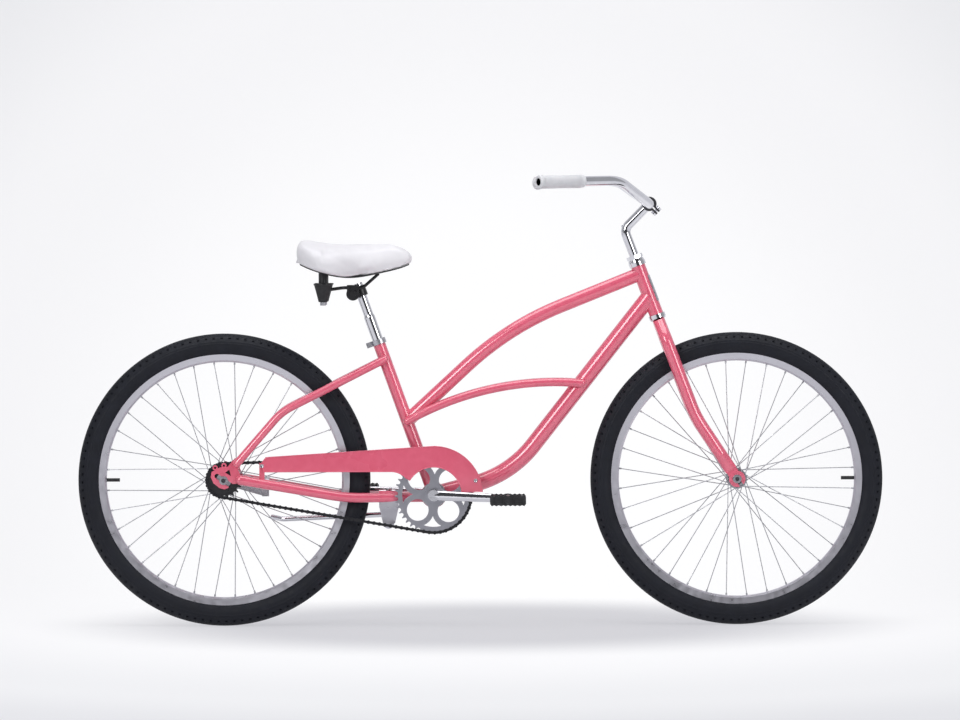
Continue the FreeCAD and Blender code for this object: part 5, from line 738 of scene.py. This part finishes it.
def grip(name, node, side):
    """A grip on the bar's right end, or mirrored on its left with side -1."""
    foot = Vector((BAR_END.x, BAR_END.y * side, BAR_END.z))
    line = Vector((GRIP_LINE.x, GRIP_LINE.y * side, GRIP_LINE.z))
    piece = turned_piece(name, foot, line, GRIP_RINGS, sides=3 * KNOBS, fill="NOTHING")
    bpy.ops.mesh.select_all(action="SELECT")
    bpy.ops.mesh.remove_doubles(threshold=WELD)
    bpy.ops.mesh.normals_make_consistent(inside=False)
    across = line.orthogonal().normalized()
    upright = line.cross(across)

    def knob(spot):
        """Whether a spot is on the third of the flange's sides that carries knobs."""
        out = spot - foot
        turn = math.atan2(out.dot(upright), out.dot(across)) % (2 * math.pi)
        on_flange = KNOB_FROM < out.dot(line) < KNOB_TO
        return on_flange and int(turn / (2 * math.pi) * 3 * KNOBS) % 3 == 0

    pick_faces(piece, knob)
    bpy.ops.mesh.inset(thickness=KNOB_MARGIN, use_individual=True)
    bpy.ops.mesh.extrude_faces_move(TRANSFORM_OT_shrink_fatten={"value": KNOB_HEIGHT})
    bpy.ops.transform.resize(value=(KNOB_TAPER,) * 3, center_override=foot + line * KNOB_MIDDLE)
    close_piece(piece, crease=40)
    dress(piece, finishes["white_grip"], "handlebar")
    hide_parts(node)


grip("right_grip_sleeve", "grip_right", 1)
grip("left_grip_sleeve", "grip_left", -1)


# The stage: a swept floor and wall, and three soft lamps

FLOOR_FRONT, FLOOR_BACK, FLOOR_SIDE, WALL_HEIGHT, WALL_CURVE = -9.0, 3.2, 9.0, 7.0, 1.6
FLOOR_BEYOND = 24.0
CURVE_STEPS = 24
EDGE_NEAR = 0.001
PAPER_COLOUR = (0.82, 0.82, 0.84, 1)
GLOW_SHARE = 0.8
# The glow is a painted pool of light on the paper: brightest behind the bicycle, dimmer towards
# the sweep's edges
GLOW_CENTRE = (0, 2.2, 0.3)
GLOW_REACH = (2.3, 5.6, 2.25)
GLOW_STOPS = [(0.25, (1.10, 1.10, 1.11, 1)), (0.6, (1.0, 1.0, 1.02, 1)),
              (0.85, (0.88, 0.885, 0.91, 1)), (1.0, (0.77, 0.775, 0.81, 1))]
# A painted shadow: the paper's glow is darkened in a soft oval under the bicycle; the lamps' own
# shadow shows only in the paper's lit share
PAINTED_SHADOW_REACH = (1.05, 1.2, 0.5)
PAINTED_SHADOW_STOPS = [(0.45, (0.62, 0.62, 0.645, 1)), (1.0, (1, 1, 1, 1))]
ROOM_STRENGTH = 0.45
ROOM_FRONT = (0, -0.98, 0.2)
ROOM_STOPS = [(0.45, (0.86, 0.87, 0.90, 1)), (0.8, (0.14, 0.14, 0.15, 1))]
LAMP_AIM = Vector((0, 0, 0.5))
LAMPS = [  # name, place, width, height and power
    ("overhead_box", Vector((0, -0.6, 3.6)), 3.6, 2.2, 68),
    ("front_box", Vector((-2.4, -4.0, 2.4)), 1.6, 2.0, 78),
    ("far_box", Vector((3.0, -3.4, 2.0)), 1.4, 2.0, 54),
]


def ramped(tree, value, stops):
    """Colour that changes along a value, by stops of a position and a colour."""
    ramp = tree.nodes.new("ShaderNodeValToRGB")
    points = ramp.color_ramp.elements
    while len(points) < len(stops):
        points.new(0.5)
    for point, (position, colour) in zip(points, stops):
        point.position = position
        point.color = colour
    tree.links.new(value, ramp.inputs["Fac"])
    return ramp


def faded(tree, place, stops):
    """Colour that eases from stop to stop with the distance from a centre."""
    away = tree.nodes.new("ShaderNodeVectorMath")
    away.operation = "LENGTH"
    tree.links.new(place, away.inputs[0])
    ramp = ramped(tree, away.outputs["Value"], stops)
    ramp.color_ramp.interpolation = "EASE"
    return ramp.outputs["Color"]


def worked(tree, operation, first, second):
    """The result of a math step on two sockets."""
    step = tree.nodes.new("ShaderNodeMath")
    step.operation = operation
    tree.links.new(first, step.inputs[0])
    tree.links.new(second, step.inputs[1])
    return step.outputs["Value"]


def mixed(tree, share, under, over):
    """One shader laid over another by a share."""
    mix = tree.nodes.new("ShaderNodeMixShader")
    tree.links.new(share, mix.inputs["Fac"])
    tree.links.new(under, mix.inputs[1])
    tree.links.new(over, mix.inputs[2])
    return mix.outputs["Shader"]


def pale_ground():
    """Pale paper in a painted pool of light, whitest behind the bicycle, with a painted shadow
    under it.

    It glows to the eye and to bright metal. Its back is open to the eye, so that the bicycle
    is seen from behind the sweep too.
    """
    material, tree, shader = blank_finish("pale_paper", metal=0.0, rough=0.9)
    shader.inputs["Base Color"].default_value = PAPER_COLOUR
    glow = tree.nodes.new("ShaderNodeEmission")
    glow_with_painted_shadow = tree.nodes.new("ShaderNodeVectorMath")
    glow_with_painted_shadow.operation = "MULTIPLY"
    bright = faded(tree, placed(tree, GLOW_CENTRE, GLOW_REACH), GLOW_STOPS)
    # the painted shadow under the bicycle, multiplied into the glow's colour
    painted_shadow = faded(tree, placed(tree, (0, 0, 0), PAINTED_SHADOW_REACH), PAINTED_SHADOW_STOPS)
    tree.links.new(bright, glow_with_painted_shadow.inputs[0])
    tree.links.new(painted_shadow, glow_with_painted_shadow.inputs[1])
    tree.links.new(glow_with_painted_shadow.outputs["Vector"], glow.inputs["Color"])
    rays = tree.nodes.new("ShaderNodeLightPath")
    seen = rays.outputs["Is Camera Ray"]
    for other in ("Is Glossy Ray", "Is Transmission Ray"):
        seen = worked(tree, "MAXIMUM", seen, rays.outputs[other])
    share = tree.nodes.new("ShaderNodeMath")
    share.operation = "MULTIPLY"
    share.inputs[1].default_value = GLOW_SHARE
    tree.links.new(seen, share.inputs[0])
    paper = mixed(tree, share.outputs["Value"], shader.outputs["BSDF"], glow.outputs["Emission"])
    sides = tree.nodes.new("ShaderNodeNewGeometry")
    behind = worked(tree, "MULTIPLY", sides.outputs["Backfacing"], rays.outputs["Is Camera Ray"])
    clear = tree.nodes.new("ShaderNodeBsdfTransparent")
    opened = mixed(tree, behind, paper, clear.outputs["BSDF"])
    tree.links.new(opened, tree.nodes["Material Output"].inputs["Surface"])
    return material


def paper_sweep():
    """A floor that curves up into a wall, and the floor that shows beyond it from behind."""
    clear_bench()
    bpy.ops.mesh.primitive_plane_add(size=1, location=(0, (FLOOR_FRONT + FLOOR_BACK) / 2, 0))
    bpy.context.object.scale = (2 * FLOOR_SIDE, FLOOR_BACK - FLOOR_FRONT, 1)
    sweep = started("paper_sweep")
    pick_edges(sweep, lambda spot: abs(spot.y - FLOOR_BACK) < EDGE_NEAR)
    bpy.ops.mesh.extrude_region_move(TRANSFORM_OT_translate={"value": (0, 0, WALL_HEIGHT)})
    pick_edges(sweep, lambda spot: abs(spot.y - FLOOR_BACK) < EDGE_NEAR and spot.z < EDGE_NEAR)
    bpy.ops.mesh.bevel(offset=WALL_CURVE, segments=CURVE_STEPS, affect="EDGES")
    bpy.ops.object.mode_set(mode="OBJECT")
    bpy.ops.object.shade_smooth()
    paper = pale_ground()
    sweep.data.materials.append(paper)
    clear_bench()
    middle = FLOOR_BACK - WALL_CURVE + FLOOR_BEYOND / 2
    bpy.ops.mesh.primitive_plane_add(size=1, location=(0, middle, 0))
    beyond = bpy.context.object
    beyond.name = "floor_beyond"
    beyond.scale = (2 * FLOOR_SIDE, FLOOR_BEYOND, 1)
    beyond.data.materials.append(paper)


def soft_lamp(name, place, width, height, power):
    """A lit panel that faces the bicycle."""
    clear_bench()
    bpy.ops.object.light_add(type="AREA", location=place)
    lamp = bpy.context.object
    lamp.name = name
    lamp.rotation_euler = (LAMP_AIM - place).to_track_quat("-Z", "Y").to_euler()
    lamp.data.shape = "RECTANGLE"
    lamp.data.size = width
    lamp.data.size_y = height
    lamp.data.energy = power


def studio():
    """A room that is dark on the camera's side, so that chrome has something to show."""
    scene = bpy.context.scene
    scene.view_settings.view_transform = "Standard"
    world = bpy.data.worlds.new("studio")
    world.use_nodes = True
    tree = world.node_tree
    room = tree.nodes["Background"]
    room.inputs["Strength"].default_value = ROOM_STRENGTH
    ways = tree.nodes.new("ShaderNodeTexCoord")
    facing = tree.nodes.new("ShaderNodeVectorMath")
    facing.operation = "DOT_PRODUCT"
    facing.inputs[1].default_value = ROOM_FRONT
    tree.links.new(ways.outputs["Generated"], facing.inputs[0])
    ramp = ramped(tree, facing.outputs["Value"], ROOM_STOPS)
    tree.links.new(ramp.outputs["Color"], room.inputs["Color"])
    scene.world = world
    for lamp in LAMPS:
        soft_lamp(*lamp)


# The photograph's camera: level, far off, and a little above the saddle

PHOTO_WIDTH = 2.182  # what the picture's width spans at the bicycle
PICTURE_MIDDLE = 0.602  # the height at the picture's middle
CAMERA_ASIDE, CAMERA_DISTANCE, CAMERA_HEIGHT = 0.001, 16.0, 0.95
CAMERA_ROLL = 0.18  # degrees
SENSOR_WIDTH = 36  # millimetres


def photo_camera():
    """Frames the bicycle as the photograph does."""
    clear_bench()
    bpy.ops.object.camera_add(
        location=(CAMERA_ASIDE, -CAMERA_DISTANCE, CAMERA_HEIGHT),
        rotation=(math.pi / 2, math.radians(CAMERA_ROLL), 0),
    )
    camera = bpy.context.object
    camera.data.sensor_width = SENSOR_WIDTH
    camera.data.lens = SENSOR_WIDTH * CAMERA_DISTANCE / PHOTO_WIDTH
    camera.data.shift_y = (PICTURE_MIDDLE - CAMERA_HEIGHT) / PHOTO_WIDTH
    bpy.context.scene.camera = camera


paper_sweep()
studio()
photo_camera()

clear_bench()
